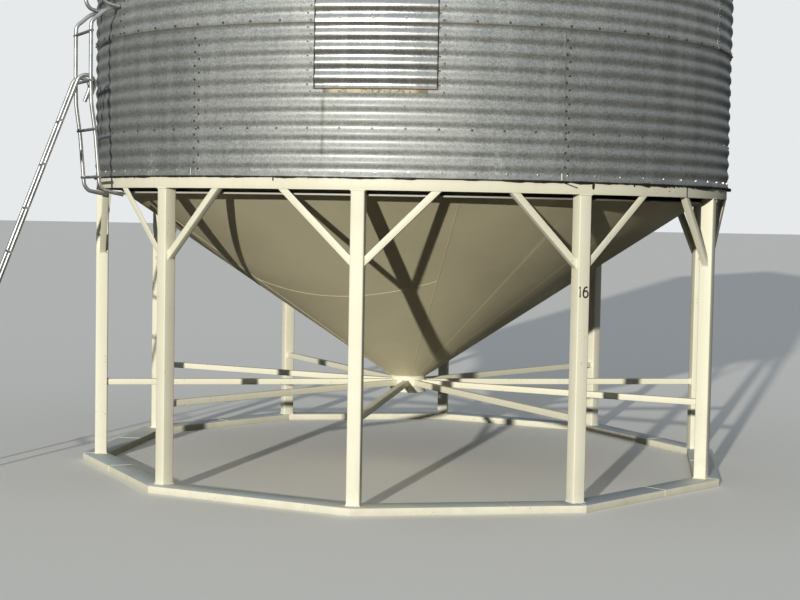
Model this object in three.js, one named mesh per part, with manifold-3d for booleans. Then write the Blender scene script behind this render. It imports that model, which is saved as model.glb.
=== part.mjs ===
// Elevated hopper-bottom grain silo: a round corrugated steel bin on ten legs, with a smooth steel hopper,
// a base ring of channel, tie struts, a bolted cover panel, wall and roof ladders and a hooked-on ladder.
// Millimetres, +Z up, ground at z = 0. Bearings go round the bin's axis from the front (-Y) towards +X.
import * as THREE from "three";
import { mergeVertices } from "three/addons/utils/BufferGeometryUtils.js";
import Module from "manifold-3d";

const wasm = await Module();
wasm.setup();
const rad = THREE.MathUtils.degToRad;

// Driving dimensions
const TOUCH_GAP = 0.3; // left between pieces that bear on each other
const REACH = 12000; // past the object's far side, for cutting shapes
const ROUND_SIDES = 60; // flat sides of each round piece
const TUBE_SIDES = 8;
const RUNG_SIDES = 6;
const LEG_COUNT = 10;
const LEG_STEP = rad(36);
const FIRST_LEG_BEARING = rad(-80.07);
const SEAM_BEARING = rad(-35.75); // a vertical seam of the bottom ring of wall sheets
const HOPPER_SEAM_BEARING = rad(8.4); // a weld between two of the hopper's plates
const BEAM_JOINTS = [rad(-92.5), rad(51.5)]; // where the ring beam's two lengths meet

const WALL = { radius: 2743, depth: 13, tierHeight: 1117.6, tiers: 5, segments: 6 };
const RAIL = { cornerRadius: 2838, width: 203, height: 57, web: 6, flange: 10 };
const LEG = { side: 102, outerFace: 2737 };
const BRACE = { side: 51, skin: 6.4, drop: 561, reach: 561 };
const RING = { outer: 2738, inner: 2675, height: 84, skin: 8, underside: 2336 };
const COLLAR = { radius: 155, skin: 8, bottom: 592, top: 735 };
const CONE = { topRadius: 2670.5, rimUnderside: 2297, rimThickness: 12, gores: 5 };
const STRUT = { side: 51, centreHeight: 677 };
const PANEL = { from: rad(-14.9), to: rad(3.5), bottom: 3060, height: 1219, skin: 8 };
const ROOF = { pitch: rad(30), skin: 7, eaveRadius: 2820, holeRadius: 300.3, gores: 3 };
const RIB = { count: 18, width: 40, height: 30, buried: 4, outerRadius: 2790, innerRadius: 360 };
const ROOF_COLLAR = { radius: 300, skin: 8, bottom: 9400, top: 9560 };
const LID = { radius: 312, skin: 6, skirt: 40, rise: 80 };

const LADDER = { bearing: rad(-63), railSpacing: 450, tubeRadius: 16, rungRadius: 12.5, standOff: 2960 };

// One section of the wall ladder: radius and height of its rungs, and of the corners that its rails follow.
const SECTION = {
  count: 4,
  pitch: 1467,
  rungOverhang: 22,
  rungs: [[2893, 2420], [2928, 2795], [2960, 3176], [2960, 3564]],
  lowestTail: [2690, 2283],
  lowerTail: [2716.5, 2291],
  lowerLead: [2780, 2300],
  lowerBend: { centre: [2793, 2395], radius: 95, from: -60, to: -4 },
  lean: [[2920, 2760], [2955, 3000], [2960, 3200]],
  upright: [2960, 3570],
  upperBend: { centre: [2880, 3600], radius: 80, from: 15, to: 60 },
  upperTail: [[2850, 3732], [2716.5, 3790]],
  overRoof: [[2955, 3575], [2930, 3630], [2880, 3667], [2600, 3829]],
};
const HOOK_LADDER = {
  twist: rad(-8.5),
  slope: rad(69.4),
  railSpacing: 330,
  bendRadius: 70,
  returnLength: 100,
  rungStep: 370,
  firstRung: 340,
  rungCount: 8,
  rungOverhang: 50,
  hungOnRung: 2,
  bendOffset: new THREE.Vector2(-2, -26.6),
};
const ROOF_LADDER = {
  aboveRoof: 130,
  outerRadius: 2700,
  innerRadius: 480,
  rungStep: 400,
  rungsPerFoot: 3,
  footDepth: 60,
};

// Values that follow from them
const RING_TOP = RING.underside + RING.height;
const EAVE = RING_TOP + WALL.tiers * WALL.tierHeight;
const WALL_OUTER = WALL.radius + WALL.depth / 2;
const WALL_INNER = WALL.radius - WALL.depth / 2;
const LEG_CENTRE = LEG.outerFace - LEG.side / 2;
const LEG_INNER_FACE = LEG.outerFace - LEG.side;
const ROOF_SLOPE = Math.tan(ROOF.pitch);
const roofUnderside = (radius) => EAVE + TOUCH_GAP + (WALL_OUTER - radius) * ROOF_SLOPE;
const roofTop = (radius) => roofUnderside(radius) + ROOF.skin;

// Finishes
const creamPaint = new THREE.MeshStandardMaterial({ color: 0xeee8cb, roughness: 0.55, metalness: 0 });
const hopperPaint = new THREE.MeshStandardMaterial({ color: 0xcdc4a6, roughness: 0.5, metalness: 0 });
const zincSheet = new THREE.MeshStandardMaterial({ color: 0x9a9e98, roughness: 0.42, metalness: 0.85 });
const brightSheet = new THREE.MeshStandardMaterial({ color: 0xc4c6c0, roughness: 0.3, metalness: 0.9 });
const zincTube = new THREE.MeshStandardMaterial({ color: 0xb9bdbb, roughness: 0.38, metalness: 0.85 });

// Joining and cutting
function toSolid(geometry) {
  const bare = geometry.index ? geometry.toNonIndexed() : geometry.clone();
  bare.deleteAttribute("normal");
  bare.deleteAttribute("uv");
  const merged = mergeVertices(bare, 1e-3);
  return new wasm.Manifold(
    new wasm.Mesh({
      numProp: 3,
      vertProperties: merged.attributes.position.array,
      triVerts: new Uint32Array(merged.index.array),
    }),
  );
}

function toGeometry(solid) {
  const mesh = solid.getMesh();
  const geometry = new THREE.BufferGeometry();
  geometry.setAttribute("position", new THREE.BufferAttribute(mesh.vertProperties, 3));
  geometry.setIndex(new THREE.BufferAttribute(mesh.triVerts, 1));
  geometry.computeVertexNormals();
  return geometry;
}

const joined = (solids) => solids.reduce((whole, next) => whole.add(next));

// Basic shapes, as solids
const vec = (x, y, z) => new THREE.Vector3(x, y, z);

function box(low, high) {
  const size = new THREE.Vector3().subVectors(high, low);
  const geometry = new THREE.BoxGeometry(size.x, size.y, size.z);
  return toSolid(geometry.translate(low.x + size.x / 2, low.y + size.y / 2, low.z + size.z / 2));
}

function bar(from, to, side) {
  const along = new THREE.Vector3().subVectors(to, from);
  const geometry = new THREE.BoxGeometry(side, side, along.length());
  const turn = new THREE.Quaternion().setFromUnitVectors(vec(0, 0, 1), along.clone().normalize());
  geometry.applyQuaternion(turn);
  const middle = from.clone().addScaledVector(along, 0.5);
  return toSolid(geometry.translate(middle.x, middle.y, middle.z));
}

function revolved(profile, firstBearing) {
  const points = profile.map(([radius, height]) => new THREE.Vector2(radius, height));
  return toSolid(new THREE.LatheGeometry(points, ROUND_SIDES, firstBearing).rotateX(Math.PI / 2));
}

// The wedge between two bearings, its sides moved in by half a gap. A negative gap moves them out.
function wedge(from, to, gap) {
  const half = (to - from) / 2;
  const point = (bearing, distance) =>
    new THREE.Vector2(Math.sin(bearing) * distance, -Math.cos(bearing) * distance);
  const apex = point((from + to) / 2, gap / 2 / Math.sin(half));
  const outline = [apex, point(from, REACH).add(apex), point(to, REACH).add(apex)];
  const geometry = new THREE.ExtrudeGeometry(new THREE.Shape(outline), { depth: REACH, bevelEnabled: false });
  return toSolid(geometry);
}

// A polyline that a tube follows with one section at each corner.
class Route extends THREE.Curve {
  constructor(corners) {
    super();
    this.corners = corners;
  }
  getPoint(t, target = new THREE.Vector3()) {
    return target.copy(this.corners[Math.round(t * (this.corners.length - 1))]);
  }
  getSpacedPoints() {
    return this.corners;
  }
  getTangentAt(u, target = new THREE.Vector3()) {
    const last = this.corners.length - 1;
    const i = Math.round(u * last);
    const leg = (k) => new THREE.Vector3().subVectors(this.corners[k + 1], this.corners[k]).normalize();
    target.set(0, 0, 0);
    if (i > 0) target.add(leg(i - 1));
    if (i < last) target.add(leg(i));
    return target.normalize();
  }
}

function tube(corners, radius, sides = TUBE_SIDES) {
  const section = new THREE.Shape(
    Array.from({ length: sides }, (_, k) => {
      const turn = ((k + 0.5) / sides) * 2 * Math.PI;
      const size = radius / Math.cos(Math.PI / sides);
      return new THREE.Vector2(Math.cos(turn) * size, Math.sin(turn) * size);
    }),
  );
  const path = { steps: corners.length - 1, extrudePath: new Route(corners), bevelEnabled: false };
  return toSolid(new THREE.ExtrudeGeometry(section, path));
}

// Points of a bend in the radius and height plane, from one turn angle in degrees to another.
function bend({ centre, radius, from, to }, pieces) {
  return Array.from({ length: pieces + 1 }, (_, k) => {
    const turn = rad(from + ((to - from) * k) / pieces);
    return [centre[0] + radius * Math.cos(turn), centre[1] + radius * Math.sin(turn)];
  });
}

const silo = new THREE.Group();
const bin = new THREE.Group(); // centred on the bin's axis
silo.add(bin);

function addPiece(name, solid, material, bearing = 0) {
  const mesh = new THREE.Mesh(toGeometry(solid), material);
  mesh.name = name;
  mesh.rotation.z = bearing;
  bin.add(mesh);
}

const numbered = (name, k) => `${name}_${String(k + 1).padStart(2, "0")}`;
const legBearing = (k) => FIRST_LEG_BEARING + k * LEG_STEP;

// Base ring: straight lengths of channel laid web up, mitred under the legs.
function baseRail() {
  const outer = RAIL.cornerRadius * Math.cos(LEG_STEP / 2);
  const inner = outer - RAIL.width;
  const outline = [
    [inner, 0],
    [inner + RAIL.flange, 0],
    [inner + RAIL.flange, RAIL.height - RAIL.web],
    [outer - RAIL.flange, RAIL.height - RAIL.web],
    [outer - RAIL.flange, 0],
    [outer, 0],
    [outer, RAIL.height],
    [inner, RAIL.height],
  ].map(([radius, height]) => new THREE.Vector2(radius, height));
  const geometry = new THREE.ExtrudeGeometry(new THREE.Shape(outline), {
    depth: RAIL.cornerRadius,
    bevelEnabled: false,
  });
  geometry.translate(0, 0, -RAIL.cornerRadius / 2);
  geometry.applyMatrix4(new THREE.Matrix4().makeBasis(vec(0, -1, 0), vec(0, 0, 1), vec(-1, 0, 0)));
  return toSolid(geometry).intersect(wedge(-LEG_STEP / 2, LEG_STEP / 2, TOUCH_GAP));
}

// A knee brace: angle iron from the leg's middle to past the beam's underside. One flange faces out from the
// bin's axis, and the other runs inwards along the lower edge. Side is -1 or 1.
function kneeBrace(side) {
  const beamMiddle = (RING.outer + RING.inner) / 2;
  const beamAtReach = Math.sqrt(beamMiddle ** 2 - BRACE.reach ** 2);
  const foot = vec(0, -LEG_CENTRE, RING.underside - BRACE.drop);
  const head = vec(side * BRACE.reach, -beamAtReach, RING.underside);
  const along = head.clone().sub(foot).normalize();
  const past = (point, distance) => point.clone().addScaledVector(along, distance);
  const trough = vec(-side * along.z, 1, side * along.x).multiplyScalar(BRACE.skin);
  const whole = bar(foot, past(head, BRACE.side), BRACE.side);
  const inside = bar(past(foot, -BRACE.side).add(trough), past(head, 2 * BRACE.side).add(trough), BRACE.side);
  return whole.subtract(inside);
}

// Leg: a square tube with a knee brace welded to either side, which runs up to the ring beam.
function leg() {
  const half = LEG.side / 2;
  const top = RING.underside - TOUCH_GAP;
  const column = box(
    vec(-half, -LEG.outerFace, RAIL.height + TOUCH_GAP),
    vec(half, -LEG_INNER_FACE, top),
  );
  const below = box(vec(-RING.outer, -RING.outer * 2, 0), vec(RING.outer, 0, top));
  return joined([column, kneeBrace(-1), kneeBrace(1)]).intersect(below);
}

function strut() {
  const half = STRUT.side / 2;
  return box(
    vec(-half, -LEG_INNER_FACE + TOUCH_GAP, STRUT.centreHeight - half),
    vec(half, -COLLAR.radius - TOUCH_GAP, STRUT.centreHeight + half),
  );
}

const railShape = baseRail();
const legShape = leg();
const strutShape = strut();
for (let k = 0; k < LEG_COUNT; k++) {
  addPiece(numbered("base_rail", k), railShape, creamPaint, legBearing(k) + LEG_STEP / 2);
  addPiece(numbered("leg", k), legShape, creamPaint, legBearing(k));
  addPiece(numbered("tie_strut", k), strutShape, creamPaint, legBearing(k));
}

// Ring beam: a rolled channel on the leg tops, open inwards, in two lengths.
const ringBeam = revolved(
  [
    [RING.outer, RING.underside],
    [RING.outer, RING_TOP],
    [RING.inner, RING_TOP],
    [RING.inner, RING_TOP - RING.skin],
    [RING.outer - RING.skin, RING_TOP - RING.skin],
    [RING.outer - RING.skin, RING.underside + RING.skin],
    [RING.inner, RING.underside + RING.skin],
    [RING.inner, RING.underside],
    [RING.outer, RING.underside],
  ],
  FIRST_LEG_BEARING,
);
addPiece("ring_beam_front", ringBeam.intersect(wedge(...BEAM_JOINTS, TOUCH_GAP)), creamPaint);
addPiece("ring_beam_back", ringBeam.subtract(wedge(...BEAM_JOINTS, -TOUCH_GAP)), creamPaint);

// Hopper: a smooth steel cone in gores, with a flat rim plate that reaches out to the legs.
const coneTop = RING_TOP - 0.5;
const coneRun = (CONE.topRadius - COLLAR.radius) / (coneTop - COLLAR.top);
const coneRadius = (height) => COLLAR.radius + (height - COLLAR.top) * coneRun;
const rimTop = CONE.rimUnderside + CONE.rimThickness;
const rimRadius = LEG_INNER_FACE - TOUCH_GAP;
const cone = revolved(
  [
    [COLLAR.radius, COLLAR.top],
    [coneRadius(CONE.rimUnderside), CONE.rimUnderside],
    [rimRadius, CONE.rimUnderside],
    [rimRadius, rimTop],
    [coneRadius(rimTop), rimTop],
    [CONE.topRadius, coneTop],
    [CONE.topRadius - COLLAR.skin, coneTop],
    [COLLAR.radius - COLLAR.skin, COLLAR.top],
    [COLLAR.radius, COLLAR.top],
  ],
  FIRST_LEG_BEARING,
);
const goreStep = (2 * Math.PI) / CONE.gores;
for (let k = 0; k < CONE.gores; k++) {
  const from = HOPPER_SEAM_BEARING + k * goreStep;
  addPiece(numbered("hopper_gore", k), cone.intersect(wedge(from, from + goreStep, TOUCH_GAP)), hopperPaint);
}

// Outlet collar under the hopper, which the tie struts meet.
addPiece(
  "outlet_collar",
  revolved(
    [
      [COLLAR.radius, COLLAR.bottom],
      [COLLAR.radius, COLLAR.top - TOUCH_GAP],
      [COLLAR.radius - COLLAR.skin, COLLAR.top - TOUCH_GAP],
      [COLLAR.radius - COLLAR.skin, COLLAR.bottom],
      [COLLAR.radius, COLLAR.bottom],
    ],
    FIRST_LEG_BEARING,
  ),
  creamPaint,
);

// Wall: the shell that the corrugated sheets make, as deep as the corrugations, in upright segments.
const wallBottom = RING_TOP + TOUCH_GAP;
const wall = revolved(
  [
    [WALL_OUTER, wallBottom],
    [WALL_OUTER, EAVE],
    [WALL_INNER, EAVE],
    [WALL_INNER, wallBottom],
    [WALL_OUTER, wallBottom],
  ],
  SEAM_BEARING,
);
const segmentStep = (2 * Math.PI) / WALL.segments;
for (let k = 0; k < WALL.segments; k++) {
  const from = SEAM_BEARING + k * segmentStep;
  const segment = wall.intersect(wedge(from, from + segmentStep, TOUCH_GAP));
  addPiece(numbered("wall_segment", k), segment, zincSheet);
}

// Cover panel bolted over the front of the wall.
const panelInner = WALL_OUTER + TOUCH_GAP;
const panelOuter = panelInner + PANEL.skin;
const panelTop = PANEL.bottom + PANEL.height;
addPiece(
  "cover_panel",
  revolved(
    [
      [panelOuter, PANEL.bottom],
      [panelOuter, panelTop],
      [panelInner, panelTop],
      [panelInner, PANEL.bottom],
      [panelOuter, PANEL.bottom],
    ],
    SEAM_BEARING,
  ).intersect(wedge(PANEL.from, PANEL.to, 0)),
  brightSheet,
);

// Roof: conical sheets with raised radial ribs, which bear on the top of the wall.
function roofRib(bearing) {
  const middleRadius = (RIB.outerRadius + RIB.innerRadius) / 2;
  const length = (RIB.outerRadius - RIB.innerRadius) / Math.cos(ROOF.pitch);
  const geometry = new THREE.BoxGeometry(RIB.width, length, RIB.height + RIB.buried);
  geometry.translate(0, 0, (RIB.height - RIB.buried) / 2);
  geometry.rotateX(ROOF.pitch);
  geometry.translate(0, -middleRadius, roofTop(middleRadius));
  return toSolid(geometry.rotateZ(bearing));
}
const roofSheet = revolved(
  [
    [ROOF.eaveRadius, roofUnderside(ROOF.eaveRadius)],
    [ROOF.eaveRadius, roofTop(ROOF.eaveRadius)],
    [ROOF.holeRadius, roofTop(ROOF.holeRadius)],
    [ROOF.holeRadius, roofUnderside(ROOF.holeRadius)],
    [ROOF.eaveRadius, roofUnderside(ROOF.eaveRadius)],
  ],
  SEAM_BEARING,
);
const roofStep = (2 * Math.PI) / ROOF.gores;
const ribStep = (2 * Math.PI) / RIB.count;
for (let k = 0; k < ROOF.gores; k++) {
  const from = SEAM_BEARING + k * roofStep;
  const ribs = Array.from({ length: RIB.count / ROOF.gores }, (_, i) => roofRib(from + (i + 0.5) * ribStep));
  const sheet = roofSheet.intersect(wedge(from, from + roofStep, TOUCH_GAP));
  addPiece(numbered("roof_gore", k), joined([sheet, ...ribs]), zincSheet);
}

addPiece(
  "roof_collar",
  revolved(
    [
      [ROOF_COLLAR.radius, ROOF_COLLAR.bottom],
      [ROOF_COLLAR.radius, ROOF_COLLAR.top],
      [ROOF_COLLAR.radius - ROOF_COLLAR.skin, ROOF_COLLAR.top],
      [ROOF_COLLAR.radius - ROOF_COLLAR.skin, ROOF_COLLAR.bottom],
      [ROOF_COLLAR.radius, ROOF_COLLAR.bottom],
    ],
    SEAM_BEARING,
  ),
  zincSheet,
);

// Fill lid: a shallow cone that caps the roof collar.
const lidSeat = ROOF_COLLAR.top + TOUCH_GAP;
addPiece(
  "fill_lid",
  revolved(
    [
      [LID.radius, lidSeat - LID.skirt],
      [LID.radius, lidSeat + LID.skin],
      [0, lidSeat + LID.rise + LID.skin],
      [0, lidSeat + LID.rise],
      [ROOF_COLLAR.radius - ROOF_COLLAR.skin, lidSeat],
      [LID.radius - LID.skin, lidSeat],
      [LID.radius - LID.skin, lidSeat - LID.skirt],
      [LID.radius, lidSeat - LID.skirt],
    ],
    SEAM_BEARING,
  ),
  zincSheet,
);

// Wall ladder: four sections of bent tube, each curled in to the wall at both ends.
const SIDE_STEP = 2 * LADDER.tubeRadius + TOUCH_GAP;
const onPlane = (across) => ([radius, height]) => vec(across, -radius, height);
const rung = (reach, radius, height) =>
  tube([vec(-reach, -radius, height), vec(reach, -radius, height)], LADDER.rungRadius, RUNG_SIDES);

// Every other section is set a tube's width to one side, so that the rails of two sections lie side by side.
const sideways = (index) => (index % 2) * SIDE_STEP;

function sectionRoute(index) {
  const lift = index * SECTION.pitch;
  const tail = index === 0 ? SECTION.lowestTail : SECTION.lowerTail;
  const lower = [tail, SECTION.lowerLead, ...bend(SECTION.lowerBend, 3), ...SECTION.lean];
  const upper =
    index === SECTION.count - 1
      ? SECTION.overRoof
      : [SECTION.upright, ...bend(SECTION.upperBend, 3), ...SECTION.upperTail];
  return [...lower, ...upper].map(([radius, height]) => [radius, height + lift]);
}

function ladderSection(index) {
  const lift = index * SECTION.pitch;
  const offset = LADDER.railSpacing / 2;
  const rungEnd = offset + LADDER.tubeRadius + SECTION.rungOverhang;
  const route = sectionRoute(index);
  const rails = [-offset, offset].map((across) => tube(route.map(onPlane(across)), LADDER.tubeRadius));
  const rungs = SECTION.rungs.map(([radius, height]) => rung(rungEnd, radius, height + lift));
  return joined([...rails, ...rungs]).translate([sideways(index), 0, 0]);
}

// What the sections stop at: the bin's outside with the gap that touching pieces keep, as the ladder sees it.
const binEnvelope = revolved(
  [
    [0, RING.underside - TOUCH_GAP],
    [WALL_OUTER + TOUCH_GAP, RING.underside - TOUCH_GAP],
    [WALL_OUTER + TOUCH_GAP, EAVE],
    [0, EAVE],
  ],
  SEAM_BEARING - LADDER.bearing,
);
for (let k = 0; k < SECTION.count; k++)
  addPiece(numbered("wall_ladder", k), ladderSection(k).subtract(binEnvelope), zincTube, LADDER.bearing);

// Hooked-on ladder: leans out from a rung of the wall ladder to the ground, its rails bent over like canes.
function hookLadder() {
  const shape = HOOK_LADDER;
  const down = new THREE.Vector2(Math.cos(shape.slope), -Math.sin(shape.slope));
  const out = new THREE.Vector2(Math.sin(shape.slope), Math.cos(shape.slope));
  const rungHeight = SECTION.rungs[shape.hungOnRung][1];
  const centre = shape.bendOffset.clone().add(new THREE.Vector2(0, rungHeight));
  const outDegrees = THREE.MathUtils.radToDeg(Math.atan2(out.y, out.x));
  const top = centre.clone().addScaledVector(out, shape.bendRadius);
  const returned = centre.clone().addScaledVector(out, -shape.bendRadius);
  returned.addScaledVector(down, shape.returnLength);
  const toGround = (top.y + LADDER.tubeRadius * 2) / Math.sin(shape.slope);
  const foot = top.clone().addScaledVector(down, toGround);
  const hook = {
    centre: centre.toArray(),
    radius: shape.bendRadius,
    from: outDegrees,
    to: outDegrees + 180,
  };
  const route = [foot.toArray(), ...bend(hook, 8), returned.toArray()];
  const offset = shape.railSpacing / 2;
  const pieces = [-offset, offset].map((across) => tube(route.map(onPlane(across)), LADDER.tubeRadius));
  const rungEnd = offset + LADDER.tubeRadius + shape.rungOverhang;
  for (let k = 0; k < shape.rungCount; k++) {
    const at = top.clone().addScaledVector(down, shape.firstRung + k * shape.rungStep);
    pieces.push(rung(rungEnd, at.x, at.y));
  }
  const aboveGround = box(vec(-REACH, -REACH, 0), vec(REACH, REACH, REACH));
  const hookPoint = vec(Math.sin(LADDER.bearing), -Math.cos(LADDER.bearing), 0);
  hookPoint.setLength(LADDER.standOff);
  return joined(pieces)
    .intersect(aboveGround)
    .rotate([0, 0, THREE.MathUtils.radToDeg(LADDER.bearing + shape.twist)])
    .translate([hookPoint.x, hookPoint.y, 0]);
}
addPiece("hook_ladder", hookLadder(), zincTube);

// Roof ladder: straight rails above the roof, on short feet, from between the wall ladder's rails to the lid.
function roofLadder() {
  const lift = ROOF_LADDER.aboveRoof / Math.cos(ROOF.pitch);
  const at = (radius) => [radius, roofTop(radius) + lift];
  const offset = LADDER.railSpacing / 2 - SIDE_STEP;
  const ends = [at(ROOF_LADDER.outerRadius), at(ROOF_LADDER.innerRadius)];
  const pieces = [-offset, offset].map((across) => tube(ends.map(onPlane(across)), LADDER.tubeRadius));
  const run = ROOF_LADDER.rungStep * Math.cos(ROOF.pitch);
  const rungCount = Math.floor((ROOF_LADDER.outerRadius - ROOF_LADDER.innerRadius) / run);
  for (let k = 0; k < rungCount; k++) {
    const [radius, height] = at(ROOF_LADDER.outerRadius - (k + 0.5) * run);
    pieces.push(rung(offset, radius, height));
    if (k % ROOF_LADDER.rungsPerFoot !== 1) continue;
    const footEnd = height - lift - ROOF_LADDER.footDepth;
    for (const across of [-offset, offset])
      pieces.push(tube([vec(across, -radius, height), vec(across, -radius, footEnd)], LADDER.rungRadius));
  }
  return joined(pieces).translate([sideways(SECTION.count - 1), 0, 0]);
}
const roofEnvelope = revolved(
  [
    [0, RING_TOP],
    [ROOF.eaveRadius, RING_TOP],
    [ROOF.eaveRadius, roofTop(ROOF.eaveRadius) + TOUCH_GAP],
    [0, roofTop(0) + TOUCH_GAP],
  ],
  SEAM_BEARING - LADDER.bearing,
);
addPiece("roof_ladder", roofLadder().subtract(roofEnvelope), zincTube, LADDER.bearing);

// The part's origin is the middle of its footprint, on the ground.
const extent = new THREE.Box3().setFromObject(bin);
bin.position.set(-(extent.min.x + extent.max.x) / 2, -(extent.min.y + extent.max.y) / 2, 0);

export default silo;
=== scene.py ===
from math import asin, atan2, cos, degrees, pi, radians, sin, sqrt, tan

import bmesh
import bpy
from mathutils import Matrix, Vector, noise


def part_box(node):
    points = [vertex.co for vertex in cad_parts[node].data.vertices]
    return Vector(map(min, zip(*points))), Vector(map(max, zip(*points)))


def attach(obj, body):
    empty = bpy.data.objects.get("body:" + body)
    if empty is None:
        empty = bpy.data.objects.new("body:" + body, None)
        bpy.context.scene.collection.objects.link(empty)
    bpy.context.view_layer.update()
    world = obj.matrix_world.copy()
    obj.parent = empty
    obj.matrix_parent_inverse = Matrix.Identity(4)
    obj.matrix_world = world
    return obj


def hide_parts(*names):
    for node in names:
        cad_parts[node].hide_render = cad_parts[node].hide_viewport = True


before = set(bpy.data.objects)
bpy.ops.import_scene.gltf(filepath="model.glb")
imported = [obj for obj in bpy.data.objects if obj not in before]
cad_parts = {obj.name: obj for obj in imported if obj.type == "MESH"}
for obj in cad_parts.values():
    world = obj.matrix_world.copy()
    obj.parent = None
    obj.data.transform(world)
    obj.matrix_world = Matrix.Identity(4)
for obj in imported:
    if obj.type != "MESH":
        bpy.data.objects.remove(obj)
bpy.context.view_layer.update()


# Viewpoint: a person's eye-level picture taken from in front of the cover panel, 14 m from the bin's axis.
# The axis stands beside the frame's origin, because the hooked-on ladder widens the footprint to the left.
CAMERA_DISTANCE = 13.96
CAMERA_HEIGHT = 2.19
CAMERA_YAW = radians(0.34)
CAMERA_PITCH = radians(3.23)
CAMERA_ROLL = radians(1.03)
CAMERA_LENS = 70.73
CAMERA_FAR = 500

collar_low, collar_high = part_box("outlet_collar")
AXIS = Vector(((collar_low.x + collar_high.x) / 2, 0, 0))
camera = bpy.data.objects.new("camera", bpy.data.cameras.new("camera"))
bpy.context.scene.collection.objects.link(camera)
bpy.context.scene.camera = camera
camera.data.lens = CAMERA_LENS
camera.data.clip_end = CAMERA_FAR
camera.matrix_world = (
    Matrix.Translation(AXIS + Vector((0, -CAMERA_DISTANCE, CAMERA_HEIGHT)))
    @ Matrix.Rotation(CAMERA_YAW, 4, "Z")
    @ Matrix.Rotation(pi / 2 - CAMERA_PITCH, 4, "X")
    @ Matrix.Rotation(CAMERA_ROLL, 4, "Z")
)


# Base ring: ten straight lengths of rolled channel, laid web up and mitred under the legs, painted cream.
# The web is dusty and weathered, with a painted sky reflection in its blue-grey and painted shade darkening
# it on the right; a butt weld crosses each length.
LEG_COUNT = 10
LEG_STEP = 2 * pi / LEG_COUNT
FIRST_LEG = radians(-80.07)
TOUCH_GAP = 0.0003
RAIL_HEIGHT = 0.057
RAIL_WIDTH = 0.203
RAIL_WEB = 0.006
RAIL_FLANGE = 0.010
RAIL_ROUNDING = 0.0025
RAIL_CORNER = 2.838
RAIL_OUTER = RAIL_CORNER * cos(LEG_STEP / 2)
RAIL_INNER = RAIL_OUTER - RAIL_WIDTH
RAIL_HALF = RAIL_OUTER * tan(LEG_STEP / 2)
BUTT_WELDS = [0.42, 0.3, 0.678, 0.57, 0.55, 0.4, 0.62, 0.35, 0.5, 0.45]
BUTT_HALF = 0.005
BUTT_PROUD = 0.0025
BUTT_TAIL = 0.001
BUTT_LOW = 0.004
BUTT_ROUNDING = 0.0022
SHARP_EDGE = radians(35)
NOISE_ROUGHNESS = 0.55
PAINT_CREAM = (0.86, 0.835, 0.68)
PAINT_AGED = (0.72, 0.68, 0.52)
PATCH_SHARE = 0.35
RUN_SHARE = 0.22
SPLASH_TOP = 0.42
SPLASH_FULL = 0.05
SPLASH_SHARE = 0.2
PAINT_GLOSS = 0.42
DUST = (0.46, 0.42, 0.33)
RUST = (0.09, 0.052, 0.03)
# The web's blue is partly weathered paint and partly a painted reflection of the sky.
WEB_SKY_REFLECTION_BLUE = (0.48, 0.54, 0.56)
WEB_GREY = (0.60, 0.59, 0.53)
WEB_DUST_SHARE = 0.6
WEB_SHARE = 0.92
# Painted shade on the web, darkest on its right-hand part.
WEB_PAINTED_SHADE = (0.25, 0.31, 0.39)
WEB_PAINTED_SHADE_SHARE = 0.85
WEB_PAINTED_SHADE_START = (1.10, 1.20)
WEB_PAINTED_SHADE_END = (2.35, 2.05)


class Signal:
    """A node's output that takes part in plain arithmetic."""

    def __init__(self, finish, socket):
        self.finish = finish
        self.socket = socket

    def math(self, operation, *values):
        return self.finish.node("ShaderNodeMath", dict(enumerate(values)), operation=operation)

    def __add__(self, other):
        return self.math("ADD", self, other)

    def __sub__(self, other):
        return self.math("SUBTRACT", self, other)

    def __rsub__(self, other):
        return self.math("SUBTRACT", other, self)

    def __mul__(self, other):
        return self.math("MULTIPLY", self, other)

    def __abs__(self):
        return self.math("ABSOLUTE", self)

    def sine(self):
        return self.math("SINE", self)

    def most(self, other):
        return self.math("MAXIMUM", self, other)

    def between(self, low, high):
        """0 at low, 1 at high, smooth and held outside. Low may be above high."""
        span = {0: self, 1: low, 2: high, 3: 0.0, 4: 1.0}
        return self.finish.node("ShaderNodeMapRange", span, interpolation_type="SMOOTHSTEP")

    def near(self, centre, reach):
        """1 at the centre, 0 from reach away."""
        return abs(self - centre).between(reach, 0.0)

    __radd__ = __add__
    __rmul__ = __mul__


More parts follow.
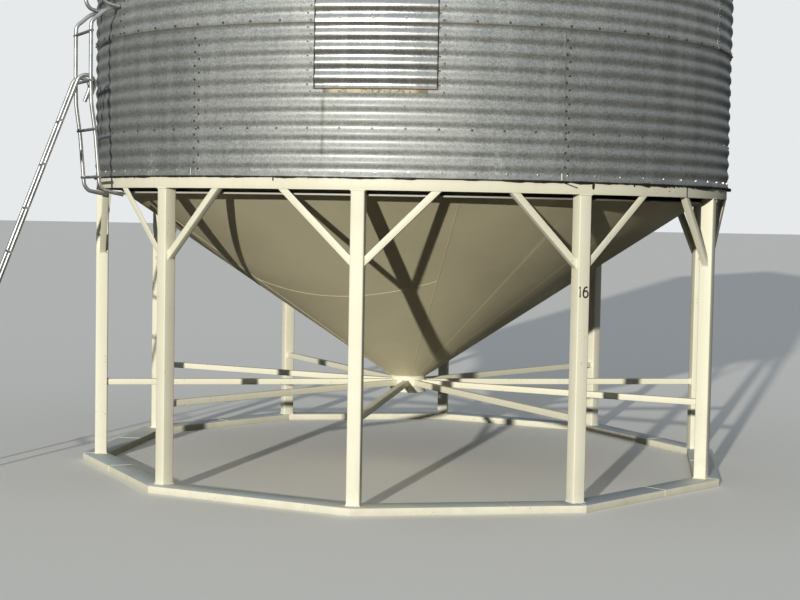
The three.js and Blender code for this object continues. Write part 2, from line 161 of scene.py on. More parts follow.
class Finish:
    """A material whose nodes are written as expressions."""

    def __init__(self, name):
        self.material = bpy.data.materials.new(name)
        self.material.use_nodes = True
        self.tree = self.material.node_tree
        self.shader = self.tree.nodes["Principled BSDF"]
        self.place = self.node("ShaderNodeTexCoord", {}, output="Object")
        self.x, self.y, self.z = self.split(self.place)

    @property
    def across(self):
        """Metres to the right of the bin's axis."""
        return self.x - AXIS.x

    def set(self, socket, value):
        if isinstance(value, Signal):
            self.tree.links.new(value.socket, socket)
        elif isinstance(value, tuple) and len(value) == 3 and socket.type == "RGBA":
            socket.default_value = (*value, 1)
        else:
            socket.default_value = value

    def node(self, kind, inputs, output=0, **settings):
        made = self.tree.nodes.new(kind)
        for key, value in settings.items():
            setattr(made, key, value)
        for key, value in inputs.items():
            self.set(made.inputs[key], value)
        return Signal(self, made.outputs[output])

    def split(self, vector):
        """The three numbers of a vector."""
        axes = self.tree.nodes.new("ShaderNodeSeparateXYZ")
        self.set(axes.inputs[0], vector)
        return [Signal(self, axis) for axis in axes.outputs]

    def attribute(self, name):
        return self.split(self.node("ShaderNodeAttribute", {}, output="Vector", attribute_name=name))

    def stretched(self, x, y, z):
        return self.node("ShaderNodeVectorMath", {0: self.place, 1: (x, y, z)}, operation="MULTIPLY")

    def noise(self, scale, detail=3.0, where=None):
        inputs = {"Vector": where or self.place, "Scale": scale, "Detail": detail}
        return self.node("ShaderNodeTexNoise", {**inputs, "Roughness": NOISE_ROUGHNESS})

    def cells(self, scale):
        return self.node("ShaderNodeTexVoronoi", {"Vector": self.place, "Scale": scale}, output="Color")

    def mix(self, factor, first, second):
        inputs = {0: factor, 6: first, 7: second}
        return self.node("ShaderNodeMix", inputs, output=2, data_type="RGBA")

    def shade(self, colour, factor):
        """The colour with its brightness multiplied by the factor."""
        grey = self.node("ShaderNodeCombineXYZ", {0: factor, 1: factor, 2: factor})
        inputs = {0: 1.0, 6: colour, 7: grey}
        return self.node("ShaderNodeMix", inputs, output=2, data_type="RGBA", blend_type="MULTIPLY")

    def bump(self, height, distance, strength=1.0):
        return self.node("ShaderNodeBump", {"Height": height, "Distance": distance, "Strength": strength})

    def glaze(self, weight, roughness):
        """A clear, glossier film over the surface."""
        self.set(self.shader.inputs["Coat Weight"], weight)
        self.shader.inputs["Coat Roughness"].default_value = roughness

    def finish(self, colour, roughness, metallic=0.0, normal=None):
        self.set(self.shader.inputs["Base Color"], colour)
        self.set(self.shader.inputs["Roughness"], roughness)
        self.set(self.shader.inputs["Metallic"], metallic)
        if normal:
            self.set(self.shader.inputs["Normal"], normal)
        return self.material


def piece(name, mesh, material, slot, *nodes, bearing=0.0):
    """Turns a mesh, modelled in front of the axis, to its bearing, and makes it a piece on the one body."""
    place = Matrix.Translation(AXIS) @ Matrix.Rotation(bearing, 4, "Z")
    bmesh.ops.transform(mesh, matrix=place, verts=mesh.verts)
    data = bpy.data.meshes.new(name)
    mesh.to_mesh(data)
    mesh.free()
    made = bpy.data.objects.new(name, data)
    bpy.context.scene.collection.objects.link(made)
    made.data.materials.append(material)
    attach(made, "root")
    if nodes:
        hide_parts(*nodes)


def bevelled(mesh, edges, width, segments, verts=()):
    """Bevels the edges. Gives back what is left of the points, with the new ones."""
    faces = bmesh.ops.bevel(
        mesh, geom=edges, offset=width, affect="EDGES", segments=segments, profile=0.5, material=-1
    )["faces"]
    return list({v for v in verts if v.is_valid} | {v for face in faces for v in face.verts})


def add_box(mesh, low, high, bevel=0.0, segments=1):
    """A box, with bevelled edges where a bevel is given."""
    size = Vector(high) - Vector(low)
    made = bmesh.ops.create_cube(mesh, size=1)["verts"]
    bmesh.ops.scale(mesh, vec=size, verts=made)
    bmesh.ops.translate(mesh, vec=Vector(low) + size / 2, verts=made)
    if bevel:
        edges = list({edge for vertex in made for edge in vertex.link_edges})
        made = bevelled(mesh, edges, bevel, segments, made)
    return made


def add_bar(mesh, outline, way):
    """A bar whose first end has this outline, and which is as long as the vector."""
    section = mesh.faces.new([mesh.verts.new(point) for point in outline])
    near_end = section.verts[:]
    swept = bmesh.ops.extrude_face_region(mesh, geom=[section])["geom"]
    far_end = [part for part in swept if isinstance(part, bmesh.types.BMVert)]
    bmesh.ops.translate(mesh, vec=way, verts=far_end)
    return near_end + far_end


def cut_off(mesh, verts, point, outwards):
    """Cuts away what lies beyond a plane, and closes the end."""
    edges = {e for v in verts for e in v.link_edges}
    faces = {f for v in verts for f in v.link_faces}
    cut = bmesh.ops.bisect_plane(
        mesh, geom=[*verts, *edges, *faces], plane_co=point, plane_no=outwards, clear_outer=True
    )
    rim = [part for part in cut["geom_cut"] if isinstance(part, bmesh.types.BMEdge)]
    bmesh.ops.edgenet_fill(mesh, edges=rim)
    return list({v for v in verts if v.is_valid} | {v for edge in rim for v in edge.verts})


def shaded_smooth(mesh, sharp=SHARP_EDGE):
    for face in mesh.faces:
        face.smooth = True
    for edge in mesh.edges:
        edge.smooth = len(edge.link_faces) == 2 and edge.calc_face_angle(0) < sharp


def cream_enamel(name, web_weathering_and_shade):
    """Cream enamel with thin dust, runs and a few rust spots, dirtier near the ground."""
    paint = Finish(name)
    patches = paint.noise(1.6, 4.0)
    runs = paint.noise(1.0, 4.0, where=paint.stretched(26, 26, 1.3)).between(0.52, 0.72)
    specks = paint.noise(70.0, 2.0).between(0.68, 0.74) * paint.noise(3.1).between(0.5, 0.62)
    splash = paint.z.between(SPLASH_TOP, SPLASH_FULL) * paint.noise(9.0, 5.0).between(0.35, 0.7)
    colour = paint.mix(patches.between(0.35, 0.75) * PATCH_SHARE, PAINT_CREAM, PAINT_AGED)
    colour = paint.mix(runs * RUN_SHARE, colour, PAINT_AGED)
    colour = paint.mix(splash * SPLASH_SHARE, colour, DUST)
    # Upward faces take the web's colour: weathered paint and dust, with a painted sky reflection in its blue.
    if web_weathering_and_shade:
        facing = paint.node("ShaderNodeNewGeometry", {}, output="Normal")
        up = paint.node("ShaderNodeVectorMath", {0: facing, 1: (0, 0, 1)}, output=1, operation="DOT_PRODUCT")
        web_colour_and_sky_reflection = paint.mix(paint.noise(0.7, 2.0).between(0.42, 0.58), WEB_SKY_REFLECTION_BLUE, WEB_GREY)
        web_colour_and_sky_reflection = paint.mix(paint.noise(5.0, 5.0).between(0.5, 0.75) * WEB_DUST_SHARE, web_colour_and_sky_reflection, DUST)
        # Painted shade: the web is darkened towards the right.
        web_shaded_right = paint.across.between(*WEB_PAINTED_SHADE_START) * paint.across.between(*WEB_PAINTED_SHADE_END)
        web_colour_and_sky_reflection = paint.mix(web_shaded_right * WEB_PAINTED_SHADE_SHARE, web_colour_and_sky_reflection, WEB_PAINTED_SHADE)
        colour = paint.mix(up.between(0.5, 0.95) * WEB_SHARE, colour, web_colour_and_sky_reflection)
    colour = paint.mix(specks, colour, RUST)
    grain = paint.noise(240.0, 2.0) * 0.4 + paint.noise(14.0) * 0.6
    rough = PAINT_GLOSS + patches * 0.2 + splash * 0.25
    return paint.finish(colour, rough, normal=paint.bump(grain, 0.0006, 0.5))


base_paint = cream_enamel("base_enamel_weathered_and_painted_shade", True)
rail_section = [
    (RAIL_OUTER, 0),
    (RAIL_OUTER, RAIL_HEIGHT),
    (RAIL_INNER, RAIL_HEIGHT),
    (RAIL_INNER, 0),
    (RAIL_INNER + RAIL_FLANGE, 0),
    (RAIL_INNER + RAIL_FLANGE, RAIL_HEIGHT - RAIL_WEB),
    (RAIL_OUTER - RAIL_FLANGE, RAIL_HEIGHT - RAIL_WEB),
    (RAIL_OUTER - RAIL_FLANGE, 0),
]
for index in range(LEG_COUNT):
    channel = bmesh.new()
    add_bar(channel, [(-RAIL_HALF, -radius, z) for radius, z in rail_section], (2 * RAIL_HALF, 0, 0))
    for side in (-1, 1):
        mitre = Vector((side * cos(LEG_STEP / 2), sin(LEG_STEP / 2), 0))
        cut_off(channel, channel.verts[:], -mitre * TOUCH_GAP / 2, mitre)
    bmesh.ops.recalc_face_normals(channel, faces=channel.faces)
    long_edges = [e for e in channel.edges if abs((e.verts[0].co - e.verts[1].co).x) > RAIL_HALF]
    bevelled(channel, long_edges, RAIL_ROUNDING, 2)
    weld = (BUTT_WELDS[index] * 2 - 1) * RAIL_HALF
    weld_low = (weld - BUTT_HALF, -RAIL_OUTER - BUTT_PROUD, BUTT_LOW)
    weld_high = (weld + BUTT_HALF, -RAIL_INNER + BUTT_TAIL, RAIL_HEIGHT + BUTT_PROUD)
    add_box(channel, weld_low, weld_high, BUTT_ROUNDING, 2)
    shaded_smooth(channel)
    node = f"base_rail_{index + 1:02}"
    bearing = FIRST_LEG + (index + 0.5) * LEG_STEP
    piece(f"base_channel_{index + 1:02}", channel, base_paint, "base_paint", node, bearing=bearing)


# Legs: square tube stood on the base ring and welded up to the ring beam, with a knee brace on either side.
# The braces are angle iron, cut to the leg's side and to the beam's underside, and welded there.
LEG_SIDE = 0.102
LEG_HALF = LEG_SIDE / 2
LEG_ROUNDING = 0.009
LEG_OUTER = 2.737
LEG_INNER = LEG_OUTER - LEG_SIDE
LEG_CENTRE = LEG_OUTER - LEG_HALF
RING_UNDERSIDE = 2.336
RING_OUTER = 2.738
RING_INNER = 2.675
LEG_FOOT = RAIL_HEIGHT + TOUCH_GAP
LEG_HEAD = RING_UNDERSIDE - TOUCH_GAP
BRACE_SIDE = 0.051
BRACE_HALF = BRACE_SIDE / 2
BRACE_SKIN = 0.0064
BRACE_ROUNDING = 0.004
BRACE_DROP = 0.561
BRACE_REACH = 0.561
BRACE_BITE = 0.002
WELD = 0.0045
WELD_SET = 0.002
MITRE_WELD = 0.003
MITRE_SINK = 0.001
MITRE_OUTER = RAIL_CORNER - 0.004
MITRE_INNER = RAIL_CORNER - RAIL_WIDTH / cos(LEG_STEP / 2)
OUTLINE_STEPS = 2
OUTLINE_FIT = 2.2


def laid(start, along):
    """The place of a part that is modelled upright on the origin, laid along a line."""
    return Matrix.Translation(start) @ along.to_track_quat("Z", "Y").to_matrix().to_4x4()


def add_tube(mesh, start, end, side, rounding):
    """A square tube with rounded corners between two points."""
    along = Vector(end) - Vector(start)
    made = add_box(mesh, (-side / 2, -side / 2, 0), (side / 2, side / 2, along.length))
    edges = {e for v in made for e in v.link_edges}
    lengthways = [e for e in edges if abs((e.verts[0].co - e.verts[1].co).z) > along.length / 2]
    made = bevelled(mesh, lengthways, rounding, 3, made)
    bmesh.ops.transform(mesh, matrix=laid(start, along), verts=made)


def bend(before, here, after, radius, steps, fit):
    """Points of a smooth bend in place of a corner. Its reach fits this many times into each side."""
    here, before, after = Vector(here), Vector(before), Vector(after)
    reach = min(radius, (before - here).length / fit, (after - here).length / fit)
    first = here + (before - here).normalized() * reach
    last = here + (after - here).normalized() * reach
    shares = [step / steps for step in range(steps + 1)]
    return [tuple(first.lerp(here, share).lerp(here.lerp(last, share), share)) for share in shares]


def rounded(corners, radius):
    """The closed outline with each corner turned into a short bend."""
    sides = zip([corners[-1], *corners[:-1]], corners, [*corners[1:], corners[0]])
    return [point for three in sides for point in bend(*three, radius, OUTLINE_STEPS, OUTLINE_FIT)]


def add_angle(mesh, start, end):
    """Angle iron between two points, with one flange facing outwards and one inwards along the lower edge."""
    forward = (end - start).normalized()
    outwards = Vector((0, -1, 0))
    outwards = (outwards - forward * outwards.dot(forward)).normalized()
    upwards = forward.cross(outwards)
    if upwards.z < 0:
        upwards = -upwards
    half = BRACE_HALF
    inner = half - BRACE_SKIN
    corners = [(half, -half), (half, half), (inner, half), (inner, -inner), (-half, -inner), (-half, -half)]
    outline = [start + outwards * out + upwards * up for out, up in rounded(corners, BRACE_ROUNDING)]
    made = add_bar(mesh, outline, end - start)
    bmesh.ops.recalc_face_normals(mesh, faces=list({f for v in made for f in v.link_faces}))
    return made


def add_weld(mesh, corners, size):
    """A weld bead along a run of straight lines."""
    for start, end in zip(corners, corners[1:]):
        start, end = Vector(start), Vector(end)
        along = end - start
        bead = bmesh.ops.create_cone(
            mesh, segments=6, radius1=size, radius2=size, depth=along.length + size, cap_ends=True
        )["verts"]
        bmesh.ops.transform(mesh, matrix=laid((start + end) / 2, along), verts=bead)


def square_loop(half, middle):
    """The corners of a square about a middle, with the first one again at the end."""
    low, high = middle - half, middle + half
    return [(-half, low), (half, low), (half, high), (-half, high), (-half, low)]


frame_paint = cream_enamel("cream_frame_enamel", False)
beam_middle = (RING_OUTER + RING_INNER) / 2
beam_at_reach = sqrt(beam_middle**2 - BRACE_REACH**2)
for index in range(LEG_COUNT):
    leg = bmesh.new()
    add_tube(leg, (0, -LEG_CENTRE, LEG_FOOT), (0, -LEG_CENTRE, LEG_HEAD), LEG_SIDE, LEG_ROUNDING)
    for side in (-1, 1):
        low_end = Vector((0, -LEG_CENTRE, RING_UNDERSIDE - BRACE_DROP))
        high_end = Vector((side * BRACE_REACH, -beam_at_reach, RING_UNDERSIDE))
        along = (high_end - low_end).normalized()
        brace = add_angle(leg, low_end, high_end + along * BRACE_SIDE)
        brace = cut_off(leg, brace, (0, 0, LEG_HEAD), (0, 0, 1))
        cut_off(leg, brace, (side * (LEG_HALF - BRACE_BITE), 0, 0), (-side, 0, 0))
        run = LEG_HALF / abs(along.x)
        middle = low_end + along * run
        slant = BRACE_HALF / abs(along.x)
        outer, inner = middle.y - BRACE_HALF, middle.y + BRACE_HALF
        high, low = middle.z + slant, middle.z - slant
        add_weld(leg, [(middle.x, outer, high), (middle.x, outer, low), (middle.x, inner, low)], WELD)
    for start, end in ((MITRE_OUTER, LEG_OUTER), (LEG_INNER, MITRE_INNER)):
        height = LEG_FOOT - MITRE_SINK
        add_weld(leg, [(0, -start, height), (0, -end, height)], MITRE_WELD)
    for height in (LEG_FOOT + WELD_SET, LEG_HEAD - WELD_SET):
        add_weld(leg, [(x, y, height) for x, y in square_loop(LEG_HALF, -LEG_CENTRE)], WELD)
    shaded_smooth(leg)
    node = f"leg_{index + 1:02}"
    bearing = FIRST_LEG + index * LEG_STEP
    piece(f"leg_tube_{index + 1:02}", leg, frame_paint, "frame_paint", node, bearing=bearing)


# Tie struts: ten square tubes, welded to the legs' inner faces and to the outlet collar.
# They hold the collar in the middle of the ring of legs.
COLLAR_RADIUS = 0.155
STRUT_SIDE = 0.051
STRUT_ROUNDING = 0.005
STRUT_HEIGHT = 0.677
STRUT_OUTER = LEG_INNER - TOUCH_GAP
STRUT_INNER = COLLAR_RADIUS + TOUCH_GAP

for index in range(LEG_COUNT):
    strut = bmesh.new()
    outer_end, inner_end = (0, -STRUT_OUTER, STRUT_HEIGHT), (0, -STRUT_INNER, STRUT_HEIGHT)
    add_tube(strut, outer_end, inner_end, STRUT_SIDE, STRUT_ROUNDING)
    for end in (STRUT_OUTER - WELD_SET, STRUT_INNER + WELD_SET):
        add_weld(strut, [(x, -end, z) for x, z in square_loop(STRUT_SIDE / 2, STRUT_HEIGHT)], WELD)
    shaded_smooth(strut)
    node = f"tie_strut_{index + 1:02}"
    bearing = FIRST_LEG + index * LEG_STEP
    piece(f"tie_tube_{index + 1:02}", strut, frame_paint, "frame_paint", node, bearing=bearing)


# Ring beam: rolled channel on the leg tops, open inwards, in two lengths whose ends meet beside two legs.
# It is painted like the legs, and the wall stands on its top flange.
RING_HEIGHT = 0.084
RING_TOP = RING_UNDERSIDE + RING_HEIGHT
RING_SKIN = 0.008
RING_ROUNDING = 0.004
BEAM_JOINTS = (radians(-92.5), radians(51.5))
WHOLE_TURN = 2 * pi
SIDES_PER_TURN = 180


def swung(mesh, verts, bearing):
    """Turns a part round the bin's axis."""
    bmesh.ops.rotate(mesh, cent=(0, 0, 0), matrix=Matrix.Rotation(bearing, 3, "Z"), verts=verts)
    return verts


def add_turned(mesh, profile, start=0.0, end=WHOLE_TURN, sides_per_turn=SIDES_PER_TURN):
    """Turns a closed section of (radius, height) points round the bin's axis from one bearing to another."""
    closed = abs(end - start - WHOLE_TURN) < 1e-6
    before = set(mesh.verts)
    section = [mesh.verts.new((0, -radius, height)) for radius, height in profile]
    rim = [mesh.edges.new(pair) for pair in zip(section, [*section[1:], section[0]])]
    swung(mesh, section, start)
    if not closed:
        mesh.faces.new(section)
    steps = max(1, round((end - start) / WHOLE_TURN * sides_per_turn))
    bmesh.ops.spin(
        mesh, geom=rim, cent=(0, 0, 0), axis=(0, 0, 1), angle=end - start, steps=steps, use_merge=closed
    )
    made = list(set(mesh.verts) - before)
    if not closed:
        open_rim = {e for v in made for e in v.link_edges if e.is_boundary}
        bmesh.ops.edgenet_fill(mesh, edges=list(open_rim))
    bmesh.ops.recalc_face_normals(mesh, faces=list({f for v in made for f in v.link_faces}))
    return made


beam_section = rounded(
    [
        (RING_OUTER, RING_UNDERSIDE),
        (RING_OUTER, RING_TOP),
        (RING_INNER, RING_TOP),
        (RING_INNER, RING_TOP - RING_SKIN),
        (RING_OUTER - RING_SKIN, RING_TOP - RING_SKIN),
        (RING_OUTER - RING_SKIN, RING_UNDERSIDE + RING_SKIN),
        (RING_INNER, RING_UNDERSIDE + RING_SKIN),
        (RING_INNER, RING_UNDERSIDE),
    ],
    RING_ROUNDING,
)
half_gap = TOUCH_GAP / 2 / RING_OUTER
for name, start, end in (
    ("ring_beam_front", BEAM_JOINTS[0], BEAM_JOINTS[1]),
    ("ring_beam_back", BEAM_JOINTS[1], BEAM_JOINTS[0] + WHOLE_TURN),
):
    beam = bmesh.new()
    add_turned(beam, beam_section, start + half_gap, end - half_gap)
    shaded_smooth(beam)
    piece(name.replace("beam", "channel"), beam, frame_paint, "frame_paint", name)


# Mastic: a lumpy black bead squeezed out between the beam and the wall, with runs down the beam's face.
# More of it closes the beam's two joints, and a loose strip of it hangs from a corner of the wall sheets.
BEAD_SECTION = [(-0.004, 0.001), (0.012, 0.001), (0.015, 0.005), (0.013, 0.009), (0.004, 0.009)]
BEAD_ROUNDING = 0.004
BEAD_MIDDLE = RING_TOP + 0.005
BEAD_FREE = RING_OUTER + 0.006
BEAD_SIDES = 5 * SIDES_PER_TURN
LUMP_BASE = 0.3
LUMP_BROAD = 6
LUMP_FINE = 23
LUMP_FINE_SHARE = 0.6
LUMP_REACH = 0.012
LUMP_RISE = 0.0027
LUMP_SAG = -0.0063
THICKER_RIGHT = 0.9
MASTIC_RUNS = (
    (-52.0, 0.012, 0.010),
    (-21.5, 0.028, 0.011),
    (29.2, 0.046, 0.026),
    (37.5, 0.018, 0.017),
    (45.3, 0.015, 0.024),
    (47.5, 0.016, 0.012),
    (118.0, 0.020, 0.010),
    (171.0, 0.014, 0.012),
    (236.0, 0.026, 0.010),
)
RUN_DEPTH = 0.005
RUN_SPARE = 0.005
RUN_RISE = 0.004
RUN_WOBBLE = 0.25
RUN_GRAIN = 90
SMUDGE_BEARING = radians(46.15)
SMUDGE_HEIGHT = 2.379
SMUDGE_HALF = Vector((0.008, 0.0012, 0.004))
JOINT_HALF = 0.0065
JOINT_PROUD = 0.0025
JOINT_BITE = 0.002
JOINT_ROUNDING = 0.002
LOOSE_SECTION = [(2.742, 2.422), (2.752, 2.422), (2.752, 2.428), (2.742, 2.428)]
LOOSE_ROUNDING = 0.001
LOOSE_START = radians(23.2)
LOOSE_END = radians(26.1)
LOOSE_SIDES = 3600
LOOSE_DROP = 0.041
BLOB_EDGE = radians(60)
BLACK = (0.012, 0.011, 0.010)


def add_blob(mesh, half_size, rings):
    """A ball, stretched to its half sizes."""
    made = bmesh.ops.create_uvsphere(mesh, u_segments=12, v_segments=rings, radius=1)["verts"]
    bmesh.ops.scale(mesh, vec=half_size, verts=made)
    return made


tar = Finish("black_mastic")
tar_lumps = tar.noise(55.0, 4.0)
black_mastic = tar.finish(BLACK, 0.45 + tar_lumps * 0.3, normal=tar.bump(tar_lumps, 0.002))
bead = bmesh.new()
bead_section = rounded([(RING_OUTER + out, RING_TOP + up) for out, up in BEAD_SECTION], BEAD_ROUNDING)
add_turned(bead, bead_section, sides_per_turn=BEAD_SIDES)
for vertex in bead.verts:
    place = Vector((vertex.co.x, vertex.co.y, 0))
    fine = LUMP_FINE_SHARE * noise.noise(place * LUMP_FINE)
    lump = max(0.0, LUMP_BASE + noise.noise(place * LUMP_BROAD) + fine)
    lump *= 1 + THICKER_RIGHT * max(0.0, place.x / RING_OUTER)
    if place.length > BEAD_FREE:
        place *= 1 + LUMP_REACH * lump / place.length
        vertex.co.xy = place.xy
    vertex.co.z += lump * (LUMP_RISE if vertex.co.z > BEAD_MIDDLE else LUMP_SAG)
for bearing, length, width in MASTIC_RUNS:
    drop = add_blob(bead, (width / 2, RUN_DEPTH, length / 2 + RUN_SPARE), 10)
    for vertex in drop:
        vertex.co.x *= 1 + RUN_WOBBLE * noise.noise(vertex.co * RUN_GRAIN + Vector((bearing, 0, 0)))
    bmesh.ops.translate(bead, vec=(0, -RING_OUTER, RING_TOP - length / 2 + RUN_RISE), verts=drop)
    swung(bead, drop, radians(bearing))
smudge = add_blob(bead, SMUDGE_HALF, 8)
bmesh.ops.translate(bead, vec=(0, -RING_OUTER, SMUDGE_HEIGHT), verts=smudge)
swung(bead, smudge, SMUDGE_BEARING)
for bearing in BEAM_JOINTS:
    low = (-JOINT_HALF, -RING_OUTER - JOINT_PROUD, RING_UNDERSIDE)
    high = (JOINT_HALF, -RING_OUTER + JOINT_BITE, RING_TOP)
    swung(bead, add_box(bead, low, high, JOINT_ROUNDING, 2), bearing)
loose = add_turned(bead, rounded(LOOSE_SECTION, LOOSE_ROUNDING), LOOSE_START, LOOSE_END, LOOSE_SIDES)
for vertex in loose:
    bearing = asin(vertex.co.x / vertex.co.xy.length)
    vertex.co.z -= LOOSE_DROP * (bearing - LOOSE_START) / (LOOSE_END - LOOSE_START)
shaded_smooth(bead, BLOB_EDGE)
piece("mastic_bead", bead, black_mastic, "frame_paint")


# Number: the bin's plain number, brushed in black on the face of the fourth leg.
# Each stroke is a rounded line, hardly thicker than the paint.
NUMBER_LEG = 3
NUMBER_HEIGHT = 1.620
BRUSH_RADIUS = 0.0064
BRUSH_FLATNESS = 0.08
ONE = [(-0.043, 0.029), (-0.033, 0.039), (-0.033, -0.038)]
SIX_STEM = [
    (0.030, 0.035), (0.018, 0.038), (0.006, 0.030), (-0.002, 0.016), (-0.005, -0.002), (-0.006, -0.016)
]
BOWL_MIDDLE = Vector((0.015, -0.014))
BOWL_HALF_WIDTH = 0.021
BOWL_HALF_HEIGHT = 0.024
BOWL_STEPS = 32


def add_pipe(mesh, points, radius, resolution=4):
    """A round bar or tube along a line of points, with closed ends."""
    line = bpy.data.curves.new("line", "CURVE")
    line.dimensions = "3D"
    line.bevel_depth = radius
    line.bevel_resolution = resolution
    line.use_fill_caps = True
    spline = line.splines.new("POLY")
    spline.points.add(len(points) - 1)
    for made, point in zip(spline.points, points):
        made.co = (*point, 1)
    carrier = bpy.data.objects.new("carrier", line)
    swept = bpy.data.meshes.new_from_object(carrier)
    before = set(mesh.verts)
    mesh.from_mesh(swept)
    bpy.data.objects.remove(carrier)
    bpy.data.curves.remove(line)
    bpy.data.meshes.remove(swept)
    fresh = [v for v in mesh.verts if v not in before]
    bmesh.ops.remove_doubles(mesh, verts=fresh, dist=1e-5)
    return [v for v in mesh.verts if v not in before]


number = bmesh.new()
bowl = []
for step in range(BOWL_STEPS + 1):
    turn = WHOLE_TURN * step / BOWL_STEPS
    bowl.append(BOWL_MIDDLE + Vector((BOWL_HALF_WIDTH * cos(turn), BOWL_HALF_HEIGHT * sin(turn))))
for stroke in (ONE, SIX_STEM, bowl):
    add_pipe(number, [(x, 0, z) for x, z in stroke], BRUSH_RADIUS, 2)
bmesh.ops.scale(number, vec=(1, BRUSH_FLATNESS, 1), verts=number.verts)
bmesh.ops.translate(number, vec=(0, -LEG_OUTER, NUMBER_HEIGHT), verts=number.verts)
shaded_smooth(number)
brushed = Finish("brushed_black_paint")
number_paint = brushed.finish(BLACK, 0.5 + brushed.noise(60.0) * 0.2)
piece("leg_number", number, number_paint, "frame_paint", bearing=FIRST_LEG + NUMBER_LEG * LEG_STEP)


# Hopper: a smooth painted cone of five welded steel plates, with a flat rim plate that reaches to the legs.
# Beads of weld follow the plate edges and cross the two plates in front, and three faint folds carry painted
# highlights.
# The rim plate is greyer, with painted shade that darkens it towards the right.
CONE_TOP_RADIUS = 2.6705
CONE_TOP = RING_TOP - 0.0005
CONE_FOOT = 0.735
CONE_REACH = CONE_TOP_RADIUS - COLLAR_RADIUS
CONE_DEPTH = CONE_TOP - CONE_FOOT
CONE_RUN = CONE_REACH / CONE_DEPTH
PLATE_SKIN = 0.008
PLATE_EDGE = radians(25)
RIM_UNDERSIDE = 2.297
RIM_TOP = RIM_UNDERSIDE + 0.012
RIM_REACH = LEG_INNER - TOUCH_GAP
HOPPER_PLATES = 5
FIRST_PLATE = radians(8.4)
PLATE_STEP = 2 * pi / HOPPER_PLATES
CONE_WELD = 0.003
SEAM_INSET = 0.002
CROSSED_PLATES = (3, 4)
CROSS_WELD_RADIUS = 1.278
CROSS_WELD_SKEW = radians(-2.4)
CROSS_WELD_STEPS = 40
HOPPER_PAINT = (0.66, 0.60, 0.41)
HOPPER_AGED = (0.57, 0.515, 0.35)
HOPPER_AGED_SHARE = 0.6
HOPPER_DUST = (0.70, 0.635, 0.44)
HOPPER_DUST_SHARE = 0.25
FOLDS = (radians(30.6), radians(47.5), radians(62))
FOLD_HALF = radians(1.0)
FOLD_ENDS = (2.2, 1.9)
FOLD_PAINTED_HIGHLIGHT = 0.28
RIM_GREY = (0.50, 0.49, 0.44)
RIM_PAINTED_SHADE = (0.15, 0.14, 0.12)
RIM_SHADE_SPAN = (0.2, 1.5)
RIM_EDGE = (RIM_UNDERSIDE - 0.002, RIM_UNDERSIDE + 0.002)


def cone_height(radius):
    return CONE_FOOT + (radius - COLLAR_RADIUS) / CONE_RUN


def cone_radius(height):
    return COLLAR_RADIUS + (height - CONE_FOOT) * CONE_RUN


hopper = Finish("hopper_enamel")
chalk = hopper.noise(1.3, 5.0)
wash = hopper.noise(1.0, 4.0, where=hopper.stretched(7, 7, 2.2))
hopper_colour = hopper.mix(chalk.between(0.35, 0.7) * HOPPER_AGED_SHARE, HOPPER_PAINT, HOPPER_AGED)
hopper_colour = hopper.mix(wash.between(0.5, 0.75) * HOPPER_DUST_SHARE, hopper_colour, HOPPER_DUST)
around = hopper.x.math("ARCTAN2", hopper.across, hopper.y * -1)
# Painted highlights: the colour is lightened along three narrow bearings on the lower cone.
fold_highlights = around.near(FOLDS[0], FOLD_HALF)
for fold in FOLDS[1:]:
    fold_highlights = fold_highlights.most(around.near(fold, FOLD_HALF))
hopper_colour = hopper.shade(hopper_colour, fold_highlights * hopper.z.between(*FOLD_ENDS) * FOLD_PAINTED_HIGHLIGHT + 1)
# The rim plate's edge is greyer, and painted shade darkens it towards the right.
rim_grey_and_painted_shade = hopper.mix(hopper.across.between(*RIM_SHADE_SPAN), RIM_GREY, RIM_PAINTED_SHADE)
hopper_colour = hopper.mix(hopper.z.between(*RIM_EDGE), hopper_colour, rim_grey_and_painted_shade)
hopper_dents = hopper.noise(1.1, 2.0) * 0.8 + hopper.noise(120.0, 2.0) * 0.02
hopper_paint = hopper.finish(hopper_colour, 0.38 + chalk * 0.2, normal=hopper.bump(hopper_dents, 0.02, 0.6))

cone_section = [
    (COLLAR_RADIUS, CONE_FOOT),
    (cone_radius(RIM_UNDERSIDE), RIM_UNDERSIDE),
    (RIM_REACH, RIM_UNDERSIDE),
    (RIM_REACH, RIM_TOP),
    (cone_radius(RIM_TOP), RIM_TOP),
    (CONE_TOP_RADIUS, CONE_TOP),
    (CONE_TOP_RADIUS - PLATE_SKIN, CONE_TOP),
    (COLLAR_RADIUS - PLATE_SKIN, CONE_FOOT),
]
unrolled = CONE_REACH / sqrt(CONE_REACH**2 + CONE_DEPTH**2)
seam_ends = (COLLAR_RADIUS + SEAM_INSET, cone_radius(RIM_UNDERSIDE) - SEAM_INSET)
for index in range(HOPPER_PLATES):
    plate = bmesh.new()
    start = FIRST_PLATE + index * PLATE_STEP
    add_turned(plate, cone_section, start, start + PLATE_STEP)
    seam = add_pipe(plate, [(0, -radius, cone_height(radius)) for radius in seam_ends], CONE_WELD, 2)
    swung(plate, seam, start)
    if index in CROSSED_PLATES:
        crossing = []
        for step in range(CROSS_WELD_STEPS + 1):
            bearing = start + PLATE_STEP * step / CROSS_WELD_STEPS
            turn = bearing - (start + PLATE_STEP / 2 + CROSS_WELD_SKEW)
            radius = CROSS_WELD_RADIUS / cos(turn * unrolled)
            crossing.append((sin(bearing) * radius, -cos(bearing) * radius, cone_height(radius)))
        add_pipe(plate, crossing, CONE_WELD, 2)
    shaded_smooth(plate, PLATE_EDGE)
    piece(f"hopper_plate_{index + 1:02}", plate, hopper_paint, "hopper_paint", f"hopper_gore_{index + 1:02}")


